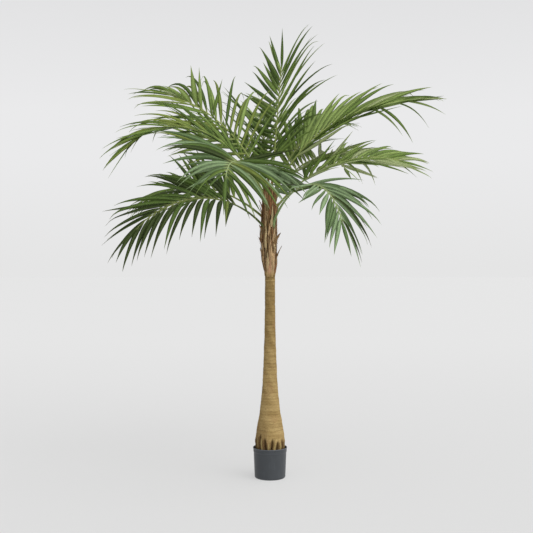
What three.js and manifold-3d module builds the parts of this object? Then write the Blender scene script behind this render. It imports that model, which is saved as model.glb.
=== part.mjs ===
// A majesty palm as an artificial tree, built together with its nursery pot.
// Millimetres, +Z up. The origin is at the centre of the pot's flat underside,
// the crown's front faces -Y and its right is +X.
//
// The trunk, the fibrous sheath of old leaf bases and the pot are solids of
// revolution with relief. Every frond grows by one rule from a short list of
// named angles: a rib that climbs and arches over, and pairs of lance-shaped
// leaflets cut right down to it. scene.py repeats that rule with finer leaflets.

import * as THREE from 'three';
import { mergeVertices } from 'three/addons/utils/BufferGeometryUtils.js';
import Module from 'manifold-3d';

const wasm = await Module();
wasm.setup();
const { Manifold, Mesh: Triangles } = wasm;

const CLEAR = 0.3; // gap between neighbouring solids
const RAD = Math.PI / 180;
const TURN = 2 * Math.PI;

// ---------------------------------------------------------------- sizes

const POT = {
  height: 164, rimRadius: 91.5, rimBand: 24, rimStep: 1.6,
  footRadius: 81.5, footRound: 12, wall: 2.6, floor: 3, lip: 1.3, sides: 48,
};
const FILL = { top: 140, mound: 4, corner: 11 };

const TRUNK = {
  foot: FILL.top + CLEAR, top: 1084, sides: 42,
  // height and radius: the swollen foot, the taper and the even upper stem
  profile: [[140, 75], [172, 77], [200, 79], [243, 74], [296, 65], [345, 56.5],
    [415, 48], [523, 39], [620, 35], [760, 30], [1000, 27], [1084, 27]],
  rings: 20,
  roots: 14, rootTop: 226, rootDepth: 15, rootWander: 0.25,
};

const SHEATH = {
  foot: TRUNK.top + CLEAR, top: 1572, sides: 30, rings: 16,
  profile: [[1084, 27], [1112, 29], [1160, 36.5], [1236, 38], [1300, 42.5],
    [1350, 40], [1420, 37.5], [1490, 33], [1545, 26], [1572, 13]],
  strips: 8, stripDepth: 3.2, stripLean: 0.0016,
};
// dry leaf bases that lie on the sheath and stand off at their torn tips
const BOOTS = { count: 7, first: 1100, last: 1370, length: 185, width: 44, thick: 6 };
const TORN = [
  { azimuth: -4, height: 1262, length: 52, width: 15, lean: 30 },
  { azimuth: -12, height: 1160, length: 78, width: 9, lean: 28 },
  { azimuth: 186, height: 1188, length: 42, width: 12, lean: 15 },
];

// Every frond: where its stalk leaves the sheath, the rib's climb at its start
// and at its end, how it swings sideways, how its blade is rolled about the
// rib, and the leaflets' angles from the rib. Angles are in degrees.
const FRONDS = [
  { name: 'top', azimuth: 73, height: 1526, rise: 75, fall: 74, bend: 1.22, swing: 0,
    length: 745, roll: -28, twist: 14, wide: 59, narrow: 18, lift: 3, droop: 0.46, leaf: 425 },
  { name: 'upper_left', azimuth: 158, height: 1523, rise: 70, fall: 20, bend: 1.05, swing: 9,
    length: 825, roll: -50, twist: 36, wide: 46, narrow: 22, lift: 8, droop: 0.83, leaf: 406 },
  { name: 'left', azimuth: 191, height: 1506, rise: 62, fall: -43, bend: 1.54, swing: -6,
    length: 905, roll: -27, twist: -26, wide: 51, narrow: 19, lift: 6, droop: 0.69, leaf: 372, split: 0.52 },
  { name: 'front_left', azimuth: 248, height: 1454, rise: 36, fall: -37, bend: 1.4, swing: 20,
    length: 874, roll: -13, twist: -6, wide: 61, narrow: 22, lift: 11, droop: 0.42, leaf: 430, split: 0.56 },
  { name: 'low_left', azimuth: 219, height: 1328, rise: 46, fall: -43, bend: 0.93, swing: -7,
    length: 860, roll: -57, twist: -33, wide: 55, narrow: 13, lift: 10, droop: 0.9, leaf: 377, split: 0.5 },
  { name: 'upper_right', azimuth: 7, height: 1497, rise: 75, fall: 5, bend: 0.86, swing: -8,
    length: 940, roll: 34, twist: 34, wide: 42, narrow: 14, lift: 4, droop: 0.88, leaf: 387, split: 0.42 },
  { name: 'right', azimuth: 15, height: 1436, rise: 53, fall: -11, bend: 1.06, swing: 1,
    length: 831, roll: 36, twist: 37, wide: 55, narrow: 22, lift: 9, droop: 0.6, leaf: 385, split: 0.55 },
  { name: 'low_right', azimuth: 300, height: 1350, rise: 57, fall: -53, bend: 0.92, swing: -15,
    length: 900, roll: 3, twist: 0, wide: 51, narrow: 15, lift: 6, droop: 0.92, leaf: 395, split: 0.5 },
  { name: 'back_low_left', azimuth: 147, height: 1384, rise: 39, fall: -14, bend: 1.03, swing: -13,
    length: 877, roll: -25, twist: 4, wide: 56, narrow: 17, lift: 15, droop: 0.7, leaf: 390, split: 0.5 },
  { name: 'back', azimuth: 128, height: 1468, rise: 60, fall: 0, bend: 1.1, swing: 2,
    length: 880, roll: 6, twist: -2, wide: 57, narrow: 13, lift: 14, droop: 0.6, leaf: 390 },
  { name: 'back_right', azimuth: 52, height: 1461, rise: 56, fall: -20, bend: 1.1, swing: 5,
    length: 880, roll: 10, twist: 8, wide: 55, narrow: 20, lift: 12, droop: 0.61, leaf: 382, split: 0.52 },
  { name: 'centre_back', azimuth: 96, height: 1479, rise: 68, fall: 15, bend: 1.11, swing: 4,
    length: 880, roll: -6, twist: 0, wide: 57, narrow: 14, lift: 11, droop: 0.59, leaf: 414, split: 0.52 },
  { name: 'upper_back', azimuth: 48, height: 1511, rise: 64, fall: 8, bend: 1.1, swing: 10,
    length: 850, roll: 15, twist: 8, wide: 50, narrow: 16, lift: 12, droop: 0.6, leaf: 377 },
];
const RIB = {
  start: 20, bare: 0.28, steps: 48, rings: 12, sides: 4,
  stalk: 9, neck: 6.5, tip: 3.4, // radii at the sheath, at the first leaflet and at the end
};
const LEAFLET = {
  pairs: 14, stagger: 0.25, width: 30, thick: 0.011,
  stations: [0, 0.32, 0.68, 1], breadth: [0.12, 1, 0.72, 0], turn: 25,
};

// ---------------------------------------------------------------- helpers

const mix = (a, b, t) => a + (b - a) * t;
const clamp = (x, low, high) => Math.min(high, Math.max(low, x));
const smooth = (x) => { const t = clamp(x, 0, 1); return t * t * (3 - 2 * t); };
const vector = (x, y, z) => new THREE.Vector3(x, y, z);

// The same number between 0 and 1 for the same n, here and in scene.py.
function chance(n) {
  const x = Math.sin(n * 12.9898) * 43758.5453;
  return x - Math.floor(x);
}

// Radius at a height: straight between a profile's points, eased at each.
function radiusAt(profile, z) {
  let i = 1;
  while (i < profile.length - 1 && z > profile[i][0]) i += 1;
  const [[z0, r0], [z1, r1]] = [profile[i - 1], profile[i]];
  const slope = (a, b) => (b[1] - a[1]) / (b[0] - a[0]);
  const here = slope(profile[i - 1], profile[i]);
  const m0 = i > 1 ? (slope(profile[i - 2], profile[i - 1]) + here) / 2 : here;
  const m1 = i < profile.length - 1 ? (here + slope(profile[i], profile[i + 1])) / 2 : here;
  const h = z1 - z0;
  const t = clamp((z - z0) / h, 0, 1);
  return (2 * t ** 3 - 3 * t ** 2 + 1) * r0 + (t ** 3 - 2 * t ** 2 + t) * h * m0
    + (3 * t ** 2 - 2 * t ** 3) * r1 + (t ** 3 - t ** 2) * h * m1;
}

// A closed solid from rings of equally many points. A ring of one point closes
// that end as a tip, and any other end ring is closed by a fan of its points.
function ringSolid(rings) {
  const points = [];
  const faces = [];
  const first = rings.map((ring) => {
    const start = points.length / 3;
    ring.forEach((p) => points.push(p.x, p.y, p.z));
    return start;
  });
  for (let i = 0; i + 1 < rings.length; i += 1) {
    const [a, b] = [first[i], first[i + 1]];
    const [m, n] = [rings[i].length, rings[i + 1].length];
    const sides = Math.max(m, n);
    for (let j = 0; j < sides; j += 1) {
      const k = (j + 1) % sides;
      if (m === 1) faces.push(a, b + k, b + j);
      else if (n === 1) faces.push(a + j, a + k, b);
      else faces.push(a + j, a + k, b + k, a + j, b + k, b + j);
    }
  }
  const close = (start, count, turned) => {
    for (let j = 1; j + 1 < count; j += 1) {
      faces.push(start, start + (turned ? j + 1 : j), start + (turned ? j : j + 1));
    }
  };
  close(first[0], rings[0].length, true);
  close(first[rings.length - 1], rings[rings.length - 1].length, false);
  const solid = new Manifold(new Triangles({
    numProp: 3, vertProperties: new Float32Array(points), triVerts: new Uint32Array(faces),
  }));
  return solid.volume() < 0 ? ringSolid(rings.map((ring) => [...ring].reverse())) : solid;
}

// A level ring whose radius is a function of the azimuth.
function levelRing(z, sides, radius) {
  return Array.from({ length: sides }, (_, j) => {
    const a = (TURN * j) / sides;
    const r = radius(a);
    return vector(r * Math.cos(a), r * Math.sin(a), z);
  });
}

const turned = (profile, sides) => ringSolid(
  profile.map(([r, z]) => levelRing(z, sides, () => r)),
);

const arc = (cx, cz, radius, from, to, steps) => Array.from({ length: steps + 1 }, (_, i) => {
  const a = mix(from, to, i / steps) * RAD;
  return [cx + radius * Math.cos(a), cz + radius * Math.sin(a)];
});

// ---------------------------------------------------------------- pot

function pot() {
  const { height, rimRadius, rimBand, rimStep, footRadius, footRound, wall, floor, lip, sides } = POT;
  const taper = (z) => mix(footRadius, rimRadius - rimStep, z / height);
  const outside = turned([
    ...arc(taper(footRound) - footRound, footRound, footRound, -90, 0, 3),
    [taper(height - rimBand), height - rimBand],
    [rimRadius - 0.2, height - rimBand + rimStep],
    ...arc(rimRadius - lip, height - lip, lip, 0, 90, 1),
  ], sides);
  const inside = turned([
    ...arc(taper(footRound) - footRound, footRound + floor - wall, footRound - wall, -90, 0, 2),
    [taper(height) - wall + 0.4, height - lip],
    [taper(height) - wall + 0.4 + lip, height + 1],
  ], sides);
  return outside.subtract(inside);
}

function potFill() {
  const { height, rimRadius, rimStep, footRadius, footRound, wall, floor, sides } = POT;
  const taper = (z) => mix(footRadius, rimRadius - rimStep, z / height) - wall - 2 * CLEAR;
  const { top, mound, corner } = FILL;
  return turned([
    [taper(0) - corner, floor + CLEAR],
    [taper(corner + floor), corner + floor],
    [taper(top - mound), top - mound],
    [taper(top) - 3 * mound, top],
  ], sides);
}

// ---------------------------------------------------------------- trunk and sheath

// The trunk's radius: the profile, and below rootTop a ring of root fingers
// with narrow gaps between them that deepen towards the pot.
function trunkRadius(z, a) {
  const { profile, roots, rootTop, rootDepth, rootWander, foot } = TRUNK;
  const down = smooth((rootTop - z) / (rootTop - foot));
  const finger = a * roots + rootWander * Math.sin(3 * a + z / 20);
  const gap = ((1 + Math.cos(finger)) / 2) ** 3;
  return radiusAt(profile, z) - rootDepth * down * gap;
}

function trunk() {
  const { foot, top, rings, sides } = TRUNK;
  const heights = Array.from({ length: rings + 1 }, (_, i) => mix(foot, top, (i / rings) ** 1.7));
  return ringSolid(heights.map((z) => levelRing(z, sides, (a) => trunkRadius(z, a))));
}

// The sheath's radius: the profile with shallow upright strips of fibre.
function sheathRadius(z, a) {
  const { profile, strips, stripDepth, stripLean, top, foot } = SHEATH;
  const ends = smooth((z - foot) / 60) * smooth((top - z) / 90);
  const strip = Math.cos(strips * (a + stripLean * (z - foot)) + 1.3 * Math.sin(z / 90));
  return radiusAt(profile, z) + stripDepth * ends * strip * (0.6 + 0.4 * Math.sin(3 * a + z / 60));
}

function sheathBody(grow) {
  const { foot, top, rings, sides } = SHEATH;
  const heights = Array.from({ length: rings + 1 }, (_, i) => mix(foot, top, i / rings));
  return ringSolid(heights.map((z, i) => levelRing(
    z + (i === rings ? grow : 0), sides, (a) => sheathRadius(z, a) + grow,
  )));
}

// A dry strip on the sheath: a long wedge from its foot, sunk in the sheath, to
// a torn tip that stands off by lean. All its faces can be grown outwards.
function boot({ azimuth, height, length, width, lean }, grow = 0) {
  const { thick } = BOOTS;
  const a = azimuth * RAD;
  const out = vector(Math.cos(a), Math.sin(a), 0);
  const across = vector(-Math.sin(a), Math.cos(a), 0);
  return ringSolid([0, 0.35, 0.7, 1].map((t) => {
    const z = height + length * t;
    const r = radiusAt(SHEATH.profile, z) + lean * t ** 2;
    const half = (width / 2) * (t < 1 ? 1 - 0.55 * t : 0.12) + grow;
    const depth = mix(thick, 2, t);
    const at = (radial, side) => out.clone().multiplyScalar(radial)
      .addScaledVector(across, side).add(vector(0, 0, z + grow * t));
    const inner = r - 1.6 * thick * (1 - t) - depth / 2 - grow;
    return [at(inner, -half), at(r + depth + grow, -half / 2), at(r + depth + grow, half / 2), at(inner, half)];
  }));
}

function sheath(grow = 0) {
  const { count, first, last, length, width } = BOOTS;
  const boots = Array.from({ length: count }, (_, i) => ({
    azimuth: 137.5 * i + 30, height: mix(first, last, i / (count - 1)),
    length: length * (0.8 + 0.4 * chance(i + 3)), width: width * (0.8 + 0.3 * chance(i + 9)),
    lean: 1 + 3 * chance(i + 21),
  }));
  return Manifold.union([sheathBody(grow), ...[...boots, ...TORN].map((one) => boot(one, grow))]);
}

// ---------------------------------------------------------------- fronds

// The rib: its climb goes from rise to fall and its heading swings, so a point
// on it is the sum of the short steps before it. Each point has the rib's
// direction, the blade's left and the blade's upper face there.
function ribOf(frond) {
  const { steps, start, bare } = RIB;
  const frame = (t) => {
    const climb = mix(frond.rise, frond.fall, t ** frond.bend) * RAD;
    const heading = (frond.azimuth + frond.swing * t ** 1.5) * RAD;
    const along = vector(Math.cos(climb) * Math.cos(heading), Math.cos(climb) * Math.sin(heading), Math.sin(climb));
    const level = vector(-Math.sin(heading), Math.cos(heading), 0);
    const f = clamp((t - bare) / (1 - bare), 0, 1);
    const roll = (frond.roll + frond.twist * (f - 0.5)) * RAD;
    const left = level.clone().applyAxisAngle(along, roll);
    return { along, left, up: along.clone().cross(left) };
  };
  const a = frond.azimuth * RAD;
  const points = [vector(start * Math.cos(a), start * Math.sin(a), frond.height)];
  for (let i = 0; i < steps; i += 1) {
    const { along } = frame((i + 0.5) / steps);
    points.push(points[i].clone().addScaledVector(along, frond.length / steps));
  }
  return (t) => {
    const i = Math.min(steps - 1, Math.floor(t * steps));
    return { at: points[i].clone().lerp(points[i + 1], t * steps - i), ...frame(t) };
  };
}

function ribRadius(t) {
  const { bare, stalk, neck, tip } = RIB;
  return t < bare ? mix(stalk, neck, t / bare) : mix(neck, tip, (t - bare) / (1 - bare));
}

// The rib between two places on it, flat enough to carry leaflets on both edges.
function ribSolid(rib, from, to) {
  const count = Math.max(3, Math.round(RIB.rings * (to - from)));
  return ringSolid(Array.from({ length: count + 1 }, (_, i) => {
    const t = mix(from, to, i / count);
    const { at, left, up } = rib(t);
    return Array.from({ length: RIB.sides }, (__, j) => {
      const a = (TURN * (j + 0.5)) / RIB.sides;
      return at.clone().addScaledVector(left, 1.15 * ribRadius(t) * Math.cos(a))
        .addScaledVector(up, 0.9 * ribRadius(t) * Math.sin(a));
    });
  }));
}

// A leaflet: it leaves the rib at an angle that narrows towards the rib's end,
// and droops along its length. Three-sided, pointed, its root sunk in the rib.
function leafletSolid(frond, rib, { t, hand, turn = 0, lift = 0, scale = 1, grow = 0 }) {
  const f = (t - RIB.bare) / (1 - RIB.bare);
  const { at, along, left, up } = rib(t);
  const angle = (mix(frond.wide, frond.narrow, f ** 1.2) + turn) * RAD;
  const raise = (frond.lift + lift) * RAD;
  const out = left.clone().multiplyScalar(hand * Math.cos(raise)).addScaledVector(up, Math.sin(raise));
  const begin = hand ? along.clone().multiplyScalar(Math.cos(angle)).addScaledVector(out, Math.sin(angle))
    : along.clone().addScaledVector(up, 0.1).normalize();
  const length = frond.leaf * (0.84 + 0.85 * f - 1.12 * f * f) * (hand ? 1 : 0.8) * scale;
  const down = vector(0, 0, -1);
  const flat = (hand ? left.clone().multiplyScalar(hand) : left).clone();

  const segments = 6;
  const line = [at.clone()];
  const ways = [begin];
  for (let i = 0; i < segments; i += 1) {
    const u = (i + 0.5) / segments;
    const way = begin.clone().addScaledVector(down, frond.droop * u ** 1.3).normalize();
    line.push(line[i].clone().addScaledVector(way, length / segments));
    ways.push(begin.clone().addScaledVector(down, frond.droop * ((i + 1) / segments) ** 1.3).normalize());
  }
  const { stations, breadth, width, thick, turn: blade } = LEAFLET;
  const rings = stations.map((u, i) => {
    const k = Math.min(segments - 1, Math.floor(u * segments));
    const place = line[k].clone().lerp(line[k + 1], u * segments - k);
    const way = ways[Math.round(u * segments)];
    if (!breadth[i]) return [place.addScaledVector(way, grow)];
    const face = up.clone().addScaledVector(flat, -0.2).addScaledVector(way, -up.dot(way)).normalize()
      .applyAxisAngle(way, hand * blade * RAD);
    const side = way.clone().cross(face).normalize();
    const half = (width / 2) * breadth[i] * Math.sqrt(scale) + grow;
    const deep = ((thick * length) / 2) * (i ? 1 : 0.6) + grow;
    return [
      place.clone().addScaledVector(side, half).addScaledVector(face, -deep),
      place.clone().addScaledVector(face, deep),
      place.clone().addScaledVector(side, -half).addScaledVector(face, -deep),
    ];
  });
  return ringSolid(rings);
}

// Where every leaflet of a frond sits: pairs up both edges, one at the end.
function seats(frond) {
  const { pairs, stagger } = LEAFLET;
  const step = (1 - RIB.bare) / pairs;
  const list = [];
  for (let i = 0; i < pairs; i += 1) {
    for (const hand of [1, -1]) {
      list.push({ t: RIB.bare + step * (i + 0.5 + hand * stagger), hand });
    }
  }
  list.push({ t: 1, hand: 0 });
  return list;
}

// ---------------------------------------------------------------- assembly

const part = new THREE.Group();
part.name = 'majesty_palm';

function addNode(name, solid, colour, roughness = 0.7) {
  const bodies = solid.decompose().sort((a, b) => b.volume() - a.volume());
  const { vertProperties, triVerts } = bodies[0].getMesh();
  let geometry = new THREE.BufferGeometry();
  geometry.setAttribute('position', new THREE.BufferAttribute(Float32Array.from(vertProperties), 3));
  geometry.setIndex(Array.from(triVerts));
  geometry = mergeVertices(geometry, 2e-3);
  const material = new THREE.MeshStandardMaterial({ color: colour, roughness, metalness: 0, side: THREE.FrontSide });
  material.name = `${name}_material`;
  const mesh = new THREE.Mesh(geometry, material);
  mesh.name = name;
  part.add(mesh);
}

const COLOUR = {
  pot: 0x44484c, fill: 0x191715, trunk: 0x96824f, sheath: 0x6e4f33, top: 0x557332, shade: 0x3c5028, blue: 0x648560,
};

addNode('pot', pot(), COLOUR.pot, 0.45);
addNode('pot_fill', potFill(), COLOUR.fill, 0.95);
addNode('trunk', trunk(), COLOUR.trunk, 0.85);
addNode('fibre_sheath', sheath(), COLOUR.sheath, 0.95);

// Every frond is one piece, or two where it arches: cut at the bend, the clear
// gap apart. All ribs are laid first, then leaflets go on where they have room.
const sheathRoom = sheath(1.5 * CLEAR);
const pieces = [];
for (const frond of FRONDS) {
  const rib = ribOf(frond);
  const gap = CLEAR / frond.length;
  const cuts = frond.split ? [[0, frond.split - gap], [frond.split + gap, 1]] : [[0, 1]];
  cuts.forEach(([from, to], i) => {
    const stem = ribSolid(rib, from, to);
    pieces.push({
      name: `frond_${frond.name}${cuts.length > 1 ? ['_inner', '_outer'][i] : ''}`,
      frond, rib, from, to,
      solids: [from === 0 ? stem.subtract(sheathRoom) : stem],
    });
  });
}

// A leaflet may touch its own piece only. One that would touch another piece is
// tried a little turned, lifted or shorter, and is left out if none of it helps.
const TRIES = [{}, { turn: 5 }, { turn: -5 }, { lift: 8 }, { lift: -8 }, { turn: 8, lift: 6 },
  { turn: -8, lift: -6 }, { scale: 0.85 }, { lift: 12, scale: 0.9 }, { lift: -12, scale: 0.9 },
  { scale: 0.7 }, { turn: -8, scale: 0.7 }, { scale: 0.55 }];
const boxOf = (solid) => solid.boundingBox();
const boxesMeet = (a, b) => [0, 1, 2].every((k) => a.min[k] - 1 < b.max[k] && b.min[k] - 1 < a.max[k]);
const fixed = [sheathRoom, trunk()];
const placed = fixed.map((solid) => ({ piece: null, solid, box: boxOf(solid) }));
pieces.forEach((piece) => placed.push({ piece, solid: piece.solids[0], box: boxOf(piece.solids[0]) }));

const free = (piece, solid) => {
  const box = boxOf(solid);
  return placed.every((other) => other.piece === piece || !boxesMeet(box, other.box)
    || solid.intersect(other.solid).isEmpty());
};

let skipped = 0;
for (const frond of FRONDS) {
  const own = pieces.filter((piece) => piece.frond === frond);
  const { rib } = own[0];
  seats(frond).forEach((seat, n) => {
    const piece = own.find((one) => seat.t >= one.from && seat.t <= one.to) ?? own[0];
    const jitter = { turn: 5 * (chance(n + 31 * FRONDS.indexOf(frond)) - 0.5) };
    const best = TRIES.find((change) => free(piece, leafletSolid(frond, rib, {
      ...seat, ...change, turn: jitter.turn + (change.turn ?? 0), grow: 1.5 * CLEAR,
    })));
    if (!best) { skipped += 1; return; }
    const solid = leafletSolid(frond, rib, { ...seat, ...best, turn: jitter.turn + (best.turn ?? 0) });
    piece.solids.push(solid);
    placed.push({ piece, solid, box: boxOf(solid) });
  });
}

const tone = (name) => (/low_left|back/.test(name) ? COLOUR.shade : /front|low_right/.test(name) ? COLOUR.blue : COLOUR.top);
for (const piece of pieces) {
  addNode(piece.name, Manifold.union(piece.solids), tone(piece.name), 0.6);
}
console.error(`leaflets left out: ${skipped}`);

export default part;
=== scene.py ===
"""Looks of an artificial majesty palm in its nursery pot.

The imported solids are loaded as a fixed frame. The pot, its filling, the ringed
trunk, the sheath of dry leaf bases, the stalks and the leaflets are built round
them from the same sizes, in the same place. Sizes in the tables are millimetres
and degrees; every mesh is in metres, with +Z up and the crown's front at -Y.
"""

import bpy
import numpy as np
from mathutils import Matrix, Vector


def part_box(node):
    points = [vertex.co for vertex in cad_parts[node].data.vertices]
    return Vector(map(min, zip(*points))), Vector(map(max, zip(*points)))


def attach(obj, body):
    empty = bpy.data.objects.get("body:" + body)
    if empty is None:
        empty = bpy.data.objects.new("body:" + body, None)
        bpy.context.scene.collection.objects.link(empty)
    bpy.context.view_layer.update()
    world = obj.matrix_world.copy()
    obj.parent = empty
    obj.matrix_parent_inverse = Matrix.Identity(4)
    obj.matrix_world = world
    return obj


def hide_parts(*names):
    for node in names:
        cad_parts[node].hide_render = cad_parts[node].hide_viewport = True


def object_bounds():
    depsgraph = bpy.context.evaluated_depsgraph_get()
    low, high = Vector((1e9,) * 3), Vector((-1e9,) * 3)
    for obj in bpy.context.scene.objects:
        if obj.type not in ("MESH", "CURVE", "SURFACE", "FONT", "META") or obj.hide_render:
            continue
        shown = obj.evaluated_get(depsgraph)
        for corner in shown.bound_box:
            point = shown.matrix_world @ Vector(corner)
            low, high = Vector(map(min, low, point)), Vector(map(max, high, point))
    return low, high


bl_info = {
    "name": "Potted Majesty Palm",
    "version": (1, 0, 0),
    "blender": (4, 5, 0),
    "location": "3D View > Sidebar > Palm",
    "description": "Builds the looks of an artificial majesty palm round its packed solids",
    "category": "Add Mesh",
}

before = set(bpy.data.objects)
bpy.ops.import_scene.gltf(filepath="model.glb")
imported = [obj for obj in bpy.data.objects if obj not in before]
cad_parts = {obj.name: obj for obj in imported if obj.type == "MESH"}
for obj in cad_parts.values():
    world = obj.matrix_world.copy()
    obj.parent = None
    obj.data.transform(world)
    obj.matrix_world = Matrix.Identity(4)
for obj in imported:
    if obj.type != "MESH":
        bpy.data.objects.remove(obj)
CAD_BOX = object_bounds()
MM = 0.001
DOWN = np.array([0.0, 0.0, -1.0])


# ------------------------------------------------------------------- tables

# Height and radius of the trunk: the swollen foot, the taper, the even stem.
TRUNK_PROFILE = ((140, 75), (172, 77), (200, 79), (243, 74), (296, 65), (345, 56.5),
                 (415, 48), (523, 39), (620, 35), (760, 30), (1000, 27), (1084, 27))
TRUNK_TOP = 1084.0

# Root fingers: how many, where they start and end, how far each strays sideways
# in its phase, and the phase of the first.
ROOTS = {"count": 14, "top": 219, "foot": 140.3, "wander": 0.35, "phase": 1.6}

SHEATH_PROFILE = ((1084, 27), (1112, 29), (1160, 36.5), (1236, 38), (1300, 42.5), (1350, 40),
                  (1420, 37.5), (1490, 33), (1545, 26), (1572, 13))
SHEATH_FOOT, SHEATH_TOP = 1084.3, 1572.0

# Dry strips whose torn tips stand off the sheath: azimuth, height of the foot,
# length, width, how far the tip leans out, tone.
TORN_STRIPS = (
    (318, 1240, 76, 32, 37, "bark"), (328, 1140, 108, 13, 40, "bark"), (210, 1188, 46, 17, 20, "bark"),
    (214, 1312, 48, 20, 25, "bark"), (206, 1260, 34, 18, 16, "rust"), (202, 1432, 62, 18, 22, "rust"),
    (190, 1414, 54, 16, 18, "bark"), (336, 1434, 48, 18, 18, "bark"),
    (242, 1222, 132, 12, 3, "straw"), (254, 1092, 128, 13, 3, "straw"), (283, 1150, 106, 14, 4, "tan"),
    (301, 1088, 156, 14, 3, "tan"), (309, 1210, 148, 13, 4, "straw"), (283, 1346, 122, 14, 4, "straw"),
    (266, 1079, 126, 18, 2, "pink"), (243, 1079, 114, 20, 2, "tan"), (288, 1079, 116, 17, 2, "tan"),
    (326, 1082, 120, 18, 4, "rust"), (272, 1412, 124, 24, 3, "rust"), (297, 1262, 70, 14, 4, "tan"),
    (228, 1090, 96, 14, 3, "bark"), (172, 1460, 70, 13, 16, "bark"), (262, 1300, 70, 10, 3, "tan"),
)

# Every frond: where its stalk leaves the sheath, the rib's climb at its start
# and end and the power it changes by, how far it swings, the rib's length, how
# the blade rolls and twists, the leaflets' angles from the rib at its start and
# end, their lift, droop and length, and how its greens are shared out.
FROND_FIELDS = ("azimuth", "height", "rise", "fall", "bend", "swing", "length", "roll", "twist",
                "wide", "narrow", "lift", "droop", "leaf", "greens")
FROND_TABLE = {
    "top": (73, 1526, 75, 74, 1.22, 0, 745, -28, 14, 59, 18, 3, 0.46, 425, "clear"),
    "upper_left": (158, 1523, 70, 20, 1.05, 9, 825, -50, 36, 46, 22, 8, 0.83, 406, "bright"),
    "left": (191, 1506, 62, -43, 1.54, -6, 905, -27, -26, 51, 19, 6, 0.69, 372, "olive"),
    "front_left": (248, 1454, 36, -37, 1.4, 20, 874, -13, -6, 61, 22, 11, 0.42, 430, "mixed"),
    "low_left": (219, 1328, 46, -43, 0.93, -7, 860, -57, -33, 55, 13, 10, 0.9, 377, "shade"),
    "upper_right": (7, 1497, 75, 5, 0.86, -8, 940, 34, 34, 42, 14, 4, 0.88, 387, "sunny"),
    "right": (15, 1436, 53, -11, 1.06, 1, 831, 36, 37, 55, 22, 9, 0.6, 385, "pale"),
    "low_right": (300, 1350, 57, -53, 0.92, -15, 900, 3, 0, 51, 15, 6, 0.92, 395, "bluish"),
    "back_low_left": (147, 1384, 39, -14, 1.03, -13, 877, -25, 4, 56, 17, 15, 0.7, 390, "fresh"),
    "back": (128, 1468, 60, 0, 1.1, 2, 880, 6, -2, 57, 13, 14, 0.6, 390, "fresh"),
    "back_right": (52, 1461, 56, -20, 1.1, 5, 880, 10, 8, 55, 20, 12, 0.61, 382, "pale"),
    "centre_back": (96, 1479, 68, 15, 1.11, 4, 880, -6, 0, 57, 14, 11, 0.59, 414, "clear"),
    "upper_back": (48, 1511, 64, 8, 1.1, 10, 850, 15, 8, 50, 16, 12, 0.6, 377, "clear"),
}

# A frond's habit: the seeds for chance of its left and right leaflets, inner,
# middle and outer, then for its left and right leaflets how much further they
# open and rise, what share of the droop they bow by, how far they turn about
# their own length, and shares of the width and length that they have.
HABIT_FIELDS = ("seeds_left", "seeds_right", "open_left", "open_right", "raise_left", "raise_right",
                "bow_left", "bow_right", "turn_left", "turn_right", "slim_left", "slim_right",
                "reach_left", "reach_right")
HABIT_TABLE = {
    "top": ((521, 351, 125), (899, 121, 515), 10, 7, -14, 4, 0.3, 1.4, 10, -9,
        1.12, 1.00, 1.00, 1.00),
    "upper_left": ((790, 566, 629), (150, 734, 708), 20, 8, 17, -3, 0.6, 1.3, -3, 0,
        0.99, 0.95, 1.00, 1.00),
    "left": ((448, 276, 426), (381, 2, 534), -11, -17, -8, 22, 0.3, 1.3, -19, -4,
        0.86, 0.84, 0.92, 0.92),
    "front_left": ((850, 77, 764), (308, 464, 322), 17, 10, -6, 6, 2.0, 1.9, 44, 63,
        0.94, 1.04, 1.00, 1.02),
    "low_left": ((515, 587, 564), (440, 334, 462), -3, -24, 22, 21, 2.0, 0.6, 7, 32,
        1.02, 0.98, 0.97, 1.01),
    "upper_right": ((164, 38, 434), (311, 884, 314), -16, -16, 15, -10, 0.5, 0.1, 38, 21,
        1.00, 1.12, 1.00, 1.00),
    "right": ((847, 513, 450), (817, 411, 899), 5, 7, -16, 8, 0.7, 0.5, 0, -7,
        0.98, 1.12, 1.00, 0.86),
    "low_right": ((16, 784, 637), (160, 817, 753), -12, 7, -7, -3, 1.0, 0.1, 43, -36,
        0.82, 1.10, 1.00, 0.90),
    "back_low_left": ((221, 676, 204), (335, 526, 404), -1, -11, -6, 17, 1.3, 0.4, -24, -30,
        1.00, 1.12, 1.03, 1.00),
    "back": ((350, 130, 824), (584, 759, 621), 21, -12, 21, 14, 0.4, 0.2, -47, -12,
        1.03, 1.12, 1.00, 0.90),
    "back_right": ((398, 799, 700), (705, 117, 10), 8, 20, 14, 12, 0.4, 0.2, -62, 40,
        1.07, 0.82, 1.03, 0.97),
    "centre_back": ((336, 159, 33), (456, 849, 101), -8, -6, 24, 22, 0.5, 0.7, 5, 0,
        1.03, 1.09, 1.00, 0.94),
    "upper_back": ((412, 630, 627), (291, 482, 590), -9, -14, 22, -6, 1.3, 0.8, -12, -6,
        1.12, 0.80, 1.00, 0.82),
}
FRONDS = [dict(zip(FROND_FIELDS, row), **dict(zip(HABIT_FIELDS, HABIT_TABLE[name])), name=name)
          for name, row in FROND_TABLE.items()]

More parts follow.
